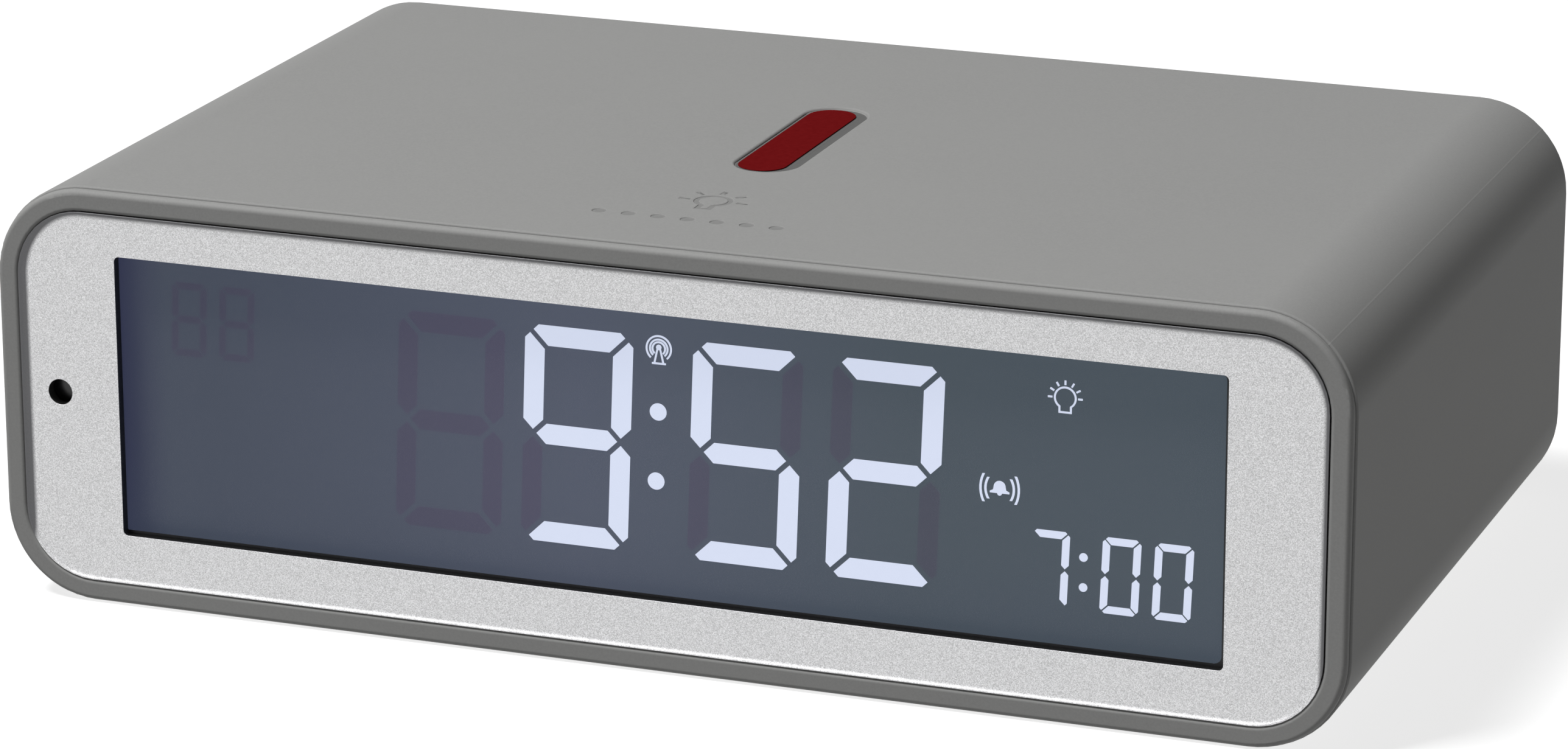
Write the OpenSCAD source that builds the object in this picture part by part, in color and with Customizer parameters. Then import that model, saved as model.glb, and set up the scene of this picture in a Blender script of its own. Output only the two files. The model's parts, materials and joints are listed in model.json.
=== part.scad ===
// Radio-controlled alarm clock: a grey one-piece sleeve, a silver bezel plate in a thin ring at
// the front, a backlit digital display, and a rear cover with push buttons and a battery door.
// Frame: X to the right, Y from the front to the back, Z up. The origin is the centre of the
// underside's rectangle, so the clock stands on Z = 0 and its front faces -Y.

/* [Case] */
// Width of the sleeve
body_w = 132; // [126:0.5:150]
// Height of the sleeve
body_h = 40.8; // [40:0.2:48]
// Depth of the clock, from the ring's front face to the sleeve's rear end
body_d = 79.5; // [76:0.5:110]
// Outer corner radius of the sleeve's section
corner_r = 9.1; // [8.5:0.1:11]
// Wall of the sleeve
wall_t = 2.4; // [2:0.1:2.6]
// Rounding of the sleeve's rear outer edge
rear_round = 1.8; // [0.5:0.1:2]
// Rounding of the sleeve's front outer edge, at the seam
lip_round = 0.25; // [0.1:0.05:0.5]
// Running fit between parts that slide into each other
fit_gap = 0.15; // [0.1:0.05:0.2]

/* [Front ring and bezel] */
// Depth of the ring that shows in front of the seam
seam_back = 0.8; // [0.7:0.1:1.1]
// Width of the hairline seam between ring and sleeve
seam_gap = 0.12; // [0.05:0.01:0.2]
// How far the ring lies inside the sleeve's outline
ring_inset = 0.2; // [0.1:0.05:0.4]
// Width of the ring's front face, from its outline to the plate's pocket
ring_face_w = 2.05; // [1.8:0.05:2.3]
// Rounding of the ring's outer front edge
ring_round = 0.5; // [0.2:0.05:0.6]
// Rounding of the ring's inner front edge
ring_in_round = 0.4; // [0.2:0.05:0.5]
// Wall of the sleeve along the rebate that takes the front frame
rebate_wall = 1.1; // [1:0.05:1.2]
// Depth of that rebate behind the seam
rebate_d = 5.8; // [5:0.1:8]
// Wall of the frame's skirt
skirt_t = 1.2; // [1:0.1:1.4]
// Thickness of the frame's web behind the plate
web_t = 1.6; // [1.4:0.1:2]
// Thickness of the silver plate
plate_t = 1.2; // [1:0.1:1.5]
// Gap between plate and ring
plate_gap = 0.15; // [0.1:0.05:0.4]
// Rounding of the plate's front edge
plate_round = 0.4; // [0.2:0.05:0.6]
// Width of the silver face on each side of the display opening
face_side = 9.5; // [9.15:0.05:13]
// Height of the silver face above and below the display opening
face_edge = 4.3; // [4.15:0.05:5.8]
// How far the opening lies to the right of the plate's centre
window_shift_x = 0.4; // [0:0.1:0.6]
// How far the opening lies above the plate's centre
window_shift_z = 0.35; // [0:0.05:0.4]
// Corner radius of the display opening
window_r = 0.5; // [0.3:0.1:1]
// Distance of the light sensor's hole from the plate's left-hand edge
sensor_inset = 3.8; // [3.6:0.05:4.15]
// Diameter of the light sensor's hole
sensor_hole_d = 2.5; // [2:0.1:2.8]

/* [Top mark] */
// Distance of the groove's front end from the front
groove_front = 27.6; // [24:0.2:32]
// Length of the groove round the red inlay
groove_l = 24.8; // [20:0.2:30]
// Width of that groove's outline
groove_w = 6.3; // [5.5:0.1:8]
// Depth of the groove
groove_depth = 0.8; // [0.5:0.1:1.2]
// Width of the gap between groove outline and island
groove_gap = 0.7; // [0.5:0.05:1]
// Rim of the island round the inlay
island_rim = 0.15; // [0.1:0.05:0.4]
// How far the island lies to the left of the groove's middle
island_shift = 0.15; // [0:0.01:0.2]
// Thickness of the red inlay
inlay_t = 0.3; // [0.2:0.05:0.5]
// Depth of the engraved marks
mark_depth = 0.25; // [0.15:0.05:0.4]
// Stroke of the engraved marks
mark_stroke = 0.45; // [0.3:0.05:0.6]
// Radius of the engraved bulb
bulb_r = 1.6; // [1.2:0.1:2.2]
// Distance of the engraved bulb from the front
bulb_back = 16.5; // [15:0.5:18]
// Distance of the row of dimples from the front
dimple_back = 9.9; // [8:0.1:11]
// Diameter of a dimple
dimple_d = 1.3; // [0.8:0.1:2]
// Distance from dimple to dimple
dimple_pitch = 2.9; // [2.2:0.1:3.2]

/* [Display] */
// Thickness of the clear window behind the plate
lens_t = 1; // [0.8:0.1:1.2]
// How far the clear window reaches past the opening on each side
lens_lap = 1.6; // [1:0.1:1.8]
// How far the display's glass reaches past the opening on each side
glass_lap_w = 1.2; // [1:0.05:1.5]
// How far the front glass reaches past the opening above and below
glass_lap_h = 2.4; // [2.2:0.05:2.6]
// Thickness of each glass
glass_t = 1.1; // [0.7:0.1:1.1]
// Height of the contact ledge under the rear glass
ledge_h = 2.5; // [2.2:0.1:3]
// Thickness of a polarising film
film_t = 0.2; // [0.15:0.05:0.3]
// Thickness of the light guide
guide_t = 2.5; // [2:0.1:3]
// Clear height above and below the large digits, within the opening
digit_margin = 3.25; // [3:0.05:5]
// Width of the large digits
digit_w = 10.65; // [8:0.05:10.8]
// Stroke of the large digits
digit_t = 1.95; // [1.2:0.05:2.2]
// Gap between the strokes of the large digits
digit_gap = 0.5; // [0.3:0.05:0.7]
// Height of the small digits
small_h = 7.2; // [5:0.05:8]
// Width of the small digits
small_w = 3.6; // [2.5:0.05:4]
// Stroke of the small digits
small_t = 0.7; // [0.5:0.05:0.8]
// Sideways lean of the digits for each millimetre of height
lean = 0.039; // [0:0.001:0.1]

/* [Boards] */
// Thickness of the circuit boards
board_t = 1.6; // [1:0.1:1.6]
// Distance from the display holder to the main board
board_gap = 2; // [1.8:0.1:3]

/* [Rear] */
// How far the rear cover lies inside the sleeve's rear end
cover_recess = 1.2; // [1.1:0.1:2]
// Thickness of the rear cover
cover_t = 2.2; // [2:0.1:2.6]
// Travel of a push button
button_travel = 0.5; // [0.3:0.05:0.6]
// Width of a push button
button_w = 7.4; // [6:0.1:8]
// Height of a push button
button_h = 4.8; // [4:0.1:6]
// Distance from button to button
button_pitch = 10; // [9.8:0.1:10.4]
// How far a button stands out of the cover
button_proud = 0.9; // [0.7:0.1:1]
// Thickness of the battery door
door_t = 1.6; // [1.4:0.1:1.8]
// Diameter of a battery cell
cell_d = 10.5; // [10:0.1:10.5]
// Length of a battery cell
cell_l = 44.5; // [43:0.1:44.5]
// Distance of the battery bay's centre from the cover's right-hand edge
bay_inset = 35.45; // [34.5:0.05:36.4]
// Distance of the row of buttons from the left-hand screws
row_inset = 8.2; // [7.8:0.1:9]

/* [Hidden] */
$fn = 64;

case_grey = [0.46, 0.46, 0.455];
ring_grey = [0.40, 0.40, 0.395];
silver = [0.80, 0.80, 0.81];
red = [0.42, 0.07, 0.08];
slate = [0.22, 0.25, 0.28];
lit = [0.87, 0.90, 0.97];
black = [0.08, 0.08, 0.09];
white = [0.92, 0.92, 0.90];
board_green = [0.10, 0.35, 0.20];
steel = [0.70, 0.71, 0.73];
copper = [0.72, 0.43, 0.25];

// Levels through the depth, from the front
y_front = -body_d / 2;
y_rear = body_d / 2;
mid_z = body_h / 2;
y_seam = y_front + seam_back;
y_sleeve = y_seam + seam_gap;
y_web = y_front + plate_t;
y_web_back = y_web + web_t;
y_rebate = y_sleeve + rebate_d;
y_skirt = y_rebate - fit_gap;
touch = 0.1;
y_glass = y_web_back + touch;
y_rear_glass = y_glass + glass_t;
y_rear_film = y_rear_glass + glass_t;
y_guide = y_rear_film + film_t + touch;
reflector_t = 0.3;
y_reflector = y_guide + guide_t;
y_holder = y_reflector + reflector_t + touch;
holder_t = 1.5;
y_board = y_holder + holder_t + board_gap;
y_board_back = y_board + board_t;

groove_y = y_front + groove_front + groove_l / 2;

// Outlines of the front
ring_w = body_w - 2 * ring_inset;
ring_h = body_h - 2 * ring_inset;
ring_r = corner_r - ring_inset;
pocket_w = ring_w - 2 * ring_face_w;
pocket_h = ring_h - 2 * ring_face_w;
pocket_r = ring_r - ring_face_w;
plate_w = pocket_w - 2 * plate_gap;
plate_h = pocket_h - 2 * plate_gap;
plate_r = pocket_r - plate_gap;
spigot_w = body_w - 2 * (rebate_wall + fit_gap);
spigot_h = body_h - 2 * (rebate_wall + fit_gap);
spigot_r = corner_r - rebate_wall - fit_gap;
inner_w = body_w - 2 * wall_t;
inner_h = body_h - 2 * wall_t;
inner_r = corner_r - wall_t;
window_w = plate_w - 2 * face_side;
window_h = plate_h - 2 * face_edge;
window_z = mid_z + window_shift_z;
window_right = window_shift_x + window_w / 2;
lens_w = window_w + 2 * lens_lap;
lens_h = window_h + 2 * lens_lap;
lens_gap = 0.15;
sensor_x = plate_w / 2 - sensor_inset;
sensor_z = mid_z + 0.2;
sensor_d = 3;
sensor_l = 4.6;
sensor_tube_t = 0.8;

// Screw bosses of the sleeve, at the front and at the rear
boss_x = body_w / 2 - 5.8;
boss_z = inner_h / 2 - 5.8;
boss_r = 2.6;
boss_l = 12;
pilot_r = 0.9;
pilot_l = 9;
rib_t = 2;
screw_r = 1.1;
head_r = 2.1;
head_t = 0.8;
hole_gap = 0.2;

// Display holder
glass_w = window_w + 2 * glass_lap_w;
glass_h = window_h + 2 * glass_lap_h;
holder_wall = 0.9;
pane_gap = 0.2;
holder_w = glass_w + 2 * (pane_gap + holder_wall);
holder_h = glass_h + 2 * (pane_gap + holder_wall);
glass_z = mid_z + 0.1;
rear_glass_h = glass_h - ledge_h;
rear_glass_z = glass_z + ledge_h / 2;
film_h = window_h + 2;
film_w = window_w + 2;
lug_r = 2.2;
lug_x = boss_x;
lug_z = boss_z - boss_r - lug_r - 1.2;
stud_x = holder_w / 2 - 4.9;
stud_z = holder_h / 2 - 4.1;
strip_inset = 9.3;
strip_w = glass_w - 2 * strip_inset;
strip_t = 1.8;
strip_z = glass_z - glass_h / 2 + ledge_h / 2;

// Backlight strip at the right-hand edge of the light guide
led_count = 3;
led_pitch = 5.9;
led_w = 3;
led_d = 1.2;
led_h = 0.9;
led_board_t = 0.8;
led_board_h = 16.8;
led_seat = 0.05;
guide_right = window_shift_x + glass_w / 2;
led_slot_h = 15.6;

// Digits of the display, each with its centre, and the time and alarm that they show
seg_t = 0.06;
y_film = y_glass - film_t;
digit_z = window_z + 0.35;
digit_h = window_h - 2 * digit_margin;
digit_pitch = 13.5;
digit_split = 16.5;
digit_ones_x = window_right - 32.7;
digit_tens_x = digit_ones_x - digit_pitch;
digit_hour_x = digit_tens_x - digit_split;
colon_x = digit_tens_x - digit_split / 2 - 0.31;
small_pitch = 4.88;
small_split = 6.67;
small_z = digit_z - (digit_h - small_h) / 2 - 0.4;
small_x = window_right - 10.38;
icon_top = digit_z + digit_h / 2;
stroke = 0.17;
DIGITS = [
    [1, 1, 1, 1, 1, 1, 0], [0, 1, 1, 0, 0, 0, 0], [1, 1, 0, 1, 1, 0, 1], [1, 1, 1, 1, 0, 0, 1],
    [0, 1, 1, 0, 0, 1, 1], [1, 0, 1, 1, 0, 1, 1], [1, 0, 1, 1, 1, 1, 1], [1, 1, 1, 0, 0, 0, 0],
    [1, 1, 1, 1, 1, 1, 1], [1, 1, 1, 1, 0, 1, 1]];

// Rear
y_cover_out = y_rear - cover_recess;
y_cover_in = y_cover_out - cover_t;
cover_w = inner_w - 2 * fit_gap;
cover_h = inner_h - 2 * fit_gap;
cover_r = inner_r - fit_gap;
plate_metal_t = 0.4;
bay_end_gap = 5.6;
bay_x = cover_w / 2 - bay_inset;
bay_w = cell_l + bay_end_gap + 2 * plate_metal_t;
cell_space = 0.4;
bay_h = 2 * cell_d + 3 * cell_space;
bay_wall = 1.3;
door_air = 0.6;
bay_depth = door_t + door_air + cell_d + cell_space;
y_bay = y_cover_out - bay_depth;
y_cell = y_cover_out - door_t - door_air - cell_d / 2;
door_lap = 1.4;
door_gap = 0.25;
door_w = bay_w + 2 * door_lap;
door_h = bay_h + 2 * door_lap;
door_r = 1.5;
door_z0 = mid_z - door_h / 2;
hinge_r = door_t / 2;
tab_w = 6;
tab_t = 1.25;
tab_drop = 1.3;
tab_rise = 2.2;
tab_x = door_w / 2 - 9;
tongue_w = 9;
tongue_l = 7;
slit_w = 0.6;
button_count = 5;
button_x = -boss_x + row_inset + (button_count - 1) * button_pitch;
button_z = mid_z + inner_h / 2 - 10.2;
button_gap = 0.2;
flange_lap = 0.8;
flange_t = 0.8;
stem_r = 1.5;
plunger_r = 1.6;
switch_w = 6;
switch_h = 3.4;
plunger_hole = 1.8;
control_front = switch_h + 1.5;
stem_l = 1.2;
y_control = y_cover_in - touch - flange_t - stem_l - control_front;
control_end = 5;
control_w = (button_count - 1) * button_pitch + 2 * control_end;
control_h = 13.6;
control_z = button_z;
control_x = button_x + control_end - control_w / 2;
tail_w = 13;
tail_z0 = wall_t + 5;
post_r = 2.2;
post_x = control_w / 2 - 10;
post_z = control_z - control_h / 2 + 2.4;
inlet_w = 8.9;
inlet_h = 3.2;
inlet_x = control_x - control_w / 2 + tail_w / 2;
inlet_z = tail_z0 + 5;
buzzer_r = 8;
buzzer_h = 6;
buzzer_wall = 1.2;
buzzer_x = control_x + 4;
buzzer_z = wall_t + buzzer_r + buzzer_wall + 0.3;
sound_r = 0.8;
sound_ring = 4.2;

// Antenna
rod_r = 4;
rod_l = 56;
coil_r = 6.2;
coil_l = 22;
cradle_t = 4;
rod_y = y_bay - bay_wall - coil_r - 0.4;

// A rounded rectangle round the origin, with true arcs
module round_rect(w, h, r) {
    square([w - 2 * r, h], center = true);
    square([w, h - 2 * r], center = true);
    for (sx = [-1, 1], sy = [-1, 1]) translate([sx * (w / 2 - r), sy * (h / 2 - r)]) circle(r);
}

// A pill shape, long along Y
module pill(w, l) {
    square([w, l - w], center = true);
    for (s = [-1, 1]) translate([0, s * (l - w) / 2]) circle(w / 2);
}

// Extrudes an outline that is drawn in X and Z, from y towards the back by d
module slice(y, d) {
    translate([0, y + d, 0]) rotate([90, 0, 0]) linear_extrude(d) children();
}

// Puts a shape whose local Z points to the back, or to the front, at depth y and mid height
module to_back(y) { translate([0, y, mid_z]) rotate([-90, 0, 0]) children(); }
module to_front(y) { translate([0, y, mid_z]) rotate([90, 0, 0]) children(); }

// Sweeps an edge profile round a rounded rectangle. The profile's U runs outwards from the corner's
// axis, to r at the outline, and its V runs through the depth d.
module swept_block(w, h, r, d) {
    cx = w / 2 - r;
    cy = h / 2 - r;
    for (q = [0 : 3]) {
        sx = (q == 0 || q == 3) ? 1 : -1;
        sy = q < 2 ? 1 : -1;
        translate([sx * cx, sy * cy, 0]) rotate(90 * q) rotate_extrude(angle = 90) children();
    }
    for (a = [0, 180]) rotate(a) {
        translate([cx, cy, 0]) rotate([90, 0, 0]) linear_extrude(2 * cy) children();
        translate([-cx, cy, 0]) rotate([90, 0, 90]) linear_extrude(2 * cx) children();
    }
    translate([-cx, -cy, 0]) cube([2 * cx, 2 * cy, d]);
}

// The corner that a rounding takes off an edge profile at (r, v), towards dir
module rounding(r, v, f, dir) {
    difference() {
        translate([r - f, dir > 0 ? v - 1 : v - f]) square([f + 1, f + 1]);
        translate([r - f, v + dir * f]) circle(f);
    }
}

// A rounded block from Z = 0 to d, with its low and high outer edges rounded
module soft_block(w, h, r, d, low, high) {
    swept_block(w, h, r, d) difference() {
        square([r, d]);
        if (low > 0) rounding(r, 0, low, 1);
        if (high > 0) rounding(r, d, high, -1);
    }
}

// A cutter that leaves a rounded inner edge at Z = d
module flared_cut(w, h, r, d, f) {
    swept_block(w, h, r, d + 1) {
        union() {
            square([r, d + 1]);
            difference() {
                translate([0, d - f]) square([r + f, f + 1]);
                translate([r + f, d - f]) circle(f);
            }
        }
    }
}

// Places children at the four bosses
module at_bosses(y) {
    for (sx = [-1, 1], sz = [-1, 1]) translate([sx * boss_x, y, mid_z + sz * boss_z]) children();
}

// A cylinder along +Y from y
module rod_y_axis(r, l) { rotate([-90, 0, 0]) cylinder(r = r, h = l); }

// A pan-head screw: head from 0 towards -Y, shaft towards +Y
module screw(r, l, hr, ht) {
    translate([0, -ht, 0]) difference() {
        rod_y_axis(hr, ht);
        for (a = [0, 90]) rotate([0, a, 0]) translate([-hr * 0.6, -0.01, -0.2])
            cube([hr * 1.2, ht * 0.55, 0.4]);
    }
    rod_y_axis(r, l);
}

// A tube or strip swept along points: each ring is the section, turned to face along the path
function unit(v) = v / norm(v);
function heading(p, i) = unit(p[min(i + 1, len(p) - 1)] - p[max(i - 1, 0)]);
module sweep(path, section, side) {
    n = len(section);
    m = len(path);
    rings = [for (i = [0 : m - 1]) let(t = heading(path, i), u = unit(cross(side, t)), v = cross(t, u))
        for (s = section) path[i] + s[0] * v + s[1] * u];
    walls = [for (i = [0 : m - 2], j = [0 : n - 1]) let(a = i * n + j, b = i * n + (j + 1) % n)
        each [[a, b, b + n], [a, b + n, a + n]]];
    ends = [[for (j = [0 : n - 1]) n - 1 - j], [for (j = [0 : n - 1]) (m - 1) * n + j]];
    polyhedron(points = rings, faces = concat(walls, ends), convexity = 6);
}
function ngon(r, n) = [for (i = [0 : n - 1]) [r * cos(360 * i / n), r * sin(360 * i / n)]];

// Case

module sleeve() {
    color(case_grey) difference() {
        union() {
            difference() {
                to_back(y_sleeve)
                    soft_block(body_w, body_h, corner_r, y_rear - y_sleeve, lip_round, rear_round);
                slice(y_sleeve - 1, rebate_d + 1) translate([0, mid_z])
                    round_rect(body_w - 2 * rebate_wall, body_h - 2 * rebate_wall,
                        corner_r - rebate_wall);
                slice(y_sleeve - 1, body_d + 2) translate([0, mid_z])
                    round_rect(inner_w, inner_h, inner_r);
            }
            at_bosses(y_web_back) rod_y_axis(boss_r, boss_l);
            at_bosses(y_cover_in - boss_l) rod_y_axis(boss_r, boss_l);
            boss_ribs(y_rebate + 0.2, y_web_back + boss_l);
            boss_ribs(y_cover_in - boss_l, y_cover_in);
        }
        at_bosses(y_web_back - 1) rod_y_axis(pilot_r, pilot_l + 1);
        at_bosses(y_cover_in - pilot_l) rod_y_axis(pilot_r, pilot_l + 1);
        translate([0, groove_y, body_h - groove_depth]) linear_extrude(groove_depth + 1) difference() {
            pill(groove_w, groove_l);
            translate([-island_shift, 0]) pill(groove_w - 2 * groove_gap, groove_l - 2 * groove_gap);
        }
        translate([0, groove_y, body_h - inlay_t]) linear_extrude(inlay_t + 1) inlay_outline(0.02);
        translate([0, 0, body_h - mark_depth]) linear_extrude(mark_depth + 1) top_marks();
    }
}

// Ribs that tie the bosses to the walls, from y0 to y1
module boss_ribs(y0, y1) {
    reach_x = inner_w / 2 + 0.4 - boss_x;
    reach_z = inner_h / 2 + 0.4 - boss_z;
    for (sx = [-1, 1], sz = [-1, 1]) translate([sx * boss_x, y0, mid_z + sz * boss_z])
        scale_sign(sx, sz) {
            translate([pilot_r + 0.5, 0, -rib_t / 2]) cube([reach_x - pilot_r - 0.5, y1 - y0, rib_t]);
            translate([-rib_t / 2, 0, pilot_r + 0.5]) cube([rib_t, y1 - y0, reach_z - pilot_r - 0.5]);
        }
}

// Mirrors children towards the given signs of X and Z
module scale_sign(sx, sz) { mirror([sx < 0 ? 1 : 0, 0, 0]) mirror([0, 0, sz < 0 ? 1 : 0]) children(); }

module inlay_outline(gap) {
    lap = groove_gap + island_rim - gap;
    translate([-island_shift, 0]) pill(groove_w - 2 * lap, groove_l - 2 * lap);
}

module red_inlay() {
    color(red) translate([0, groove_y, body_h - inlay_t]) linear_extrude(inlay_t - 0.02)
        inlay_outline(0);
}

// The engraved bulb with its rays, and the row of dimples in front of it
module top_marks() {
    translate([0, y_front + bulb_back]) {
        difference() {
            circle(bulb_r + mark_stroke / 2);
            circle(bulb_r - mark_stroke / 2);
            translate([-bulb_r * 0.34, -bulb_r - 1]) square([bulb_r * 0.68, bulb_r + 1]);
        }
        for (s = [-1, 1]) translate([s * bulb_r * 0.36 - mark_stroke / 2, -bulb_r * 1.85])
            square([mark_stroke, bulb_r * 0.95]);
        translate([-bulb_r * 0.36 - mark_stroke / 2, -bulb_r * 1.85])
            square([bulb_r * 0.72 + mark_stroke, mark_stroke]);
        for (a = [0 : 45 : 180]) rotate(a) translate([bulb_r * 1.45, -mark_stroke / 2])
            square([bulb_r * 0.65, mark_stroke]);
    }
    for (i = [-3 : 3]) translate([i * dimple_pitch, y_front + dimple_back]) circle(dimple_d / 2);
}

module front_frame() {
    color(ring_grey) difference() {
        union() {
            to_front(y_seam) soft_block(ring_w, ring_h, ring_r, seam_back, 0, ring_round);
            slice(y_seam, y_skirt - y_seam) translate([0, mid_z]) round_rect(spigot_w, spigot_h, spigot_r);
        }
        to_front(y_web) flared_cut(pocket_w, pocket_h, pocket_r, plate_t, ring_in_round);
        difference() {
            slice(y_web_back, y_skirt - y_web_back + 1) translate([0, mid_z])
                round_rect(spigot_w - 2 * skirt_t, spigot_h - 2 * skirt_t, spigot_r - skirt_t);
            at_lugs(y_web_back - 1) rod_y_axis(lug_r, y_holder - y_web_back + 1);
            translate([-sensor_x, y_web_back - 1, sensor_z])
                rod_y_axis(sensor_d / 2 + touch + sensor_tube_t, 1 + sensor_l * 0.6);
        }
        slice(y_web - 1, web_t + 2) translate([window_shift_x, window_z])
            square([lens_w + 2 * lens_gap, lens_h + 2 * lens_gap], center = true);
        at_bosses(y_web - 1) rod_y_axis(screw_r + hole_gap, web_t + 2);
        at_bosses(y_web - 1) rod_y_axis(head_r + hole_gap, head_t + 0.05 + 1);
        at_lugs(y_holder - 4.5) rod_y_axis(pilot_r, 5);
        translate([-sensor_x, y_web - 1, sensor_z]) rod_y_axis(sensor_d / 2 + touch, web_t + sensor_l);
    }
}

// Places children at the holder's screw lugs
module at_lugs(y) {
    for (sx = [-1, 1], sz = [-1, 1]) translate([sx * lug_x, y, mid_z + sz * lug_z]) children();
}

module front_screws() {
    color(steel) at_bosses(y_web + head_t + 0.05) screw(pilot_r, 7, head_r, head_t);
}

module bezel_plate() {
    color(silver) difference() {
        to_front(y_web) soft_block(plate_w, plate_h, plate_r, plate_t, 0, plate_round);
        slice(y_front - 1, plate_t + 2) translate([window_shift_x, window_z])
            round_rect(window_w, window_h, window_r);
        translate([-sensor_x, y_front - 1, sensor_z]) rod_y_axis(sensor_hole_d / 2, plate_t + 2);
    }
}

module display_window() {
    color([0.6, 0.65, 0.7, 0.3]) slice(y_web, lens_t) translate([window_shift_x, window_z])
        square([lens_w, lens_h], center = true);
}

// Display

// A flat pane, centred on the display, from y towards the back
module pane(y, t, w, h, z) {
    slice(y, t) translate([window_shift_x, z]) square([w, h], center = true);
}

module front_polariser() { color(slate) pane(y_film, film_t, film_w, film_h, window_z); }
module front_glass() { color(slate) pane(y_glass, glass_t, glass_w, glass_h, glass_z); }
module rear_glass() { color(slate) pane(y_rear_glass, glass_t, glass_w, rear_glass_h, rear_glass_z); }
module rear_polariser() {
    color(slate) pane(y_rear_film, film_t, film_w, rear_glass_h - 0.6, rear_glass_z);
}
module light_guide() { color(white) pane(y_guide, guide_t, glass_w, rear_glass_h, rear_glass_z); }
module reflector_sheet() {
    color(white) pane(y_reflector, reflector_t, glass_w, rear_glass_h, rear_glass_z);
}

// The right-hand half of a seven-segment digit's top, upper side and middle strokes, as
// polygons round the digit's centre: hw and hh are half its width and height, t its stroke, k
// the shift of the cut ends, c the leg of the chamfered outer corners
function top_stroke(hw, hh, t, k, c) = [
    [hw - c, hh], [hw - (c + k) / 2, hh - (c - k) / 2], [hw - t - k, hh - t],
    [t + k - hw, hh - t], [(c + k) / 2 - hw, hh - (c - k) / 2], [c - hw, hh]];
function side_stroke(hw, hh, t, k, c) = [
    [hw - (c - k) / 2, hh - (c + k) / 2], [hw, hh - c], [hw, t / 2 + k], [hw - t / 2, k],
    [hw - t, t / 2 + k], [hw - t, hh - t - k]];
function mid_stroke(hw, t, k) = [
    [hw - t / 2 - k, 0], [hw - t - k, t / 2], [t + k - hw, t / 2],
    [t / 2 + k - hw, 0], [t + k - hw, -t / 2], [hw - t - k, -t / 2]];
function leaned(p, sx, sz) = [for (q = p) [sx * q[0] + lean * sz * q[1], sz * q[1]]];

// A seven-segment digit round the origin; strokes run top, upper right, lower right, bottom,
// lower left, upper left, middle
module digit(n, w, h, t, gap) {
    k = gap / sqrt(2);
    c = t * 0.66;
    top = top_stroke(w / 2, h / 2, t, k, c);
    side = side_stroke(w / 2, h / 2, t, k, c);
    strokes = [leaned(top, 1, 1), leaned(side, 1, 1), leaned(side, 1, -1), leaned(top, 1, -1),
        leaned(side, -1, -1), leaned(side, -1, 1), leaned(mid_stroke(w / 2, t, k), 1, 1)];
    for (i = [0 : 6]) if (DIGITS[n][i] == 1) polygon(strokes[i]);
}

// A mast with waves round its tip
module mast_icon() {
    circle(0.26);
    translate([0, -0.12]) for (r = [0.7, 0.945, 1.28]) difference() {
        circle(r);
        circle(r - stroke);
        polygon([[0, 0], [-2.26 * r, -2.6 * r], [2.26 * r, -2.6 * r]]);
    }
    for (s = [-1, 1]) polygon([[s * 0.04, -0.1], [s * 0.2, -0.1], [s * 0.53, -1.5], [s * 0.35, -1.5]]);
    translate([-0.68, -1.62]) square([1.36, stroke]);
}

// A light bulb with seven rays
module bulb_icon() {
    difference() {
        union() {
            circle(1.06);
            translate([-0.62, -1.43]) square([1.24, 1]);
        }
        circle(1.06 - stroke);
        translate([-0.62 + stroke, -1.43 + stroke]) square([1.24 - 2 * stroke, 1]);
    }
    for (a = [0 : 30 : 180]) rotate(a) translate([1.2, -stroke / 2]) square([0.42, stroke]);
}

// A bell between sound waves; each wave has its outer radius, its reach and half its height
module bell_icon() {
    circle(0.56);
    polygon([[-0.56, 0], [0.56, 0], [0.62, -0.3], [0.92, -0.44], [0.92, -0.6], [-0.92, -0.6],
        [-0.92, -0.44], [-0.62, -0.3]]);
    translate([0, -0.6]) circle(0.22);
    for (wave = [[2.1, 1.45, 1.01], [3.15, 1.92, 1.32]], a = [0, 180]) translate([0, -0.19]) rotate(a)
        intersection() {
            translate([wave[1] - wave[0], 0]) difference() {
                circle(wave[0]);
                circle(wave[0] - 1.25 * stroke);
            }
            translate([0.5, -wave[2]]) square([2, 2 * wave[2]]);
        }
}

module display_segments() {
    color(lit) slice(y_film - seg_t, seg_t) {
        for (d = [[digit_hour_x, 9], [digit_tens_x, 5], [digit_ones_x, 2]]) translate([d[0], digit_z])
            digit(d[1], digit_w, digit_h, digit_t, digit_gap);
        for (s = [-1, 1]) translate([colon_x + s * lean * 3.3, digit_z + s * 3.33]) circle(0.82);
        for (d = [[small_x - small_split, 7], [small_x, 0], [small_x + small_pitch, 0]])
            translate([d[0], small_z]) digit(d[1], small_w, small_h, small_t, 0.14);
        for (s = [-1, 1]) translate([small_x - small_split / 2 - 0.14, small_z + s * 1.42]) circle(0.4);
        translate([colon_x + 0.24, icon_top - 0.96]) mast_icon();
        translate([small_x - 5.37, icon_top - 1.55]) bulb_icon();
        translate([small_x - 11.42, digit_z - 0.1]) bell_icon();
    }
}

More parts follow.
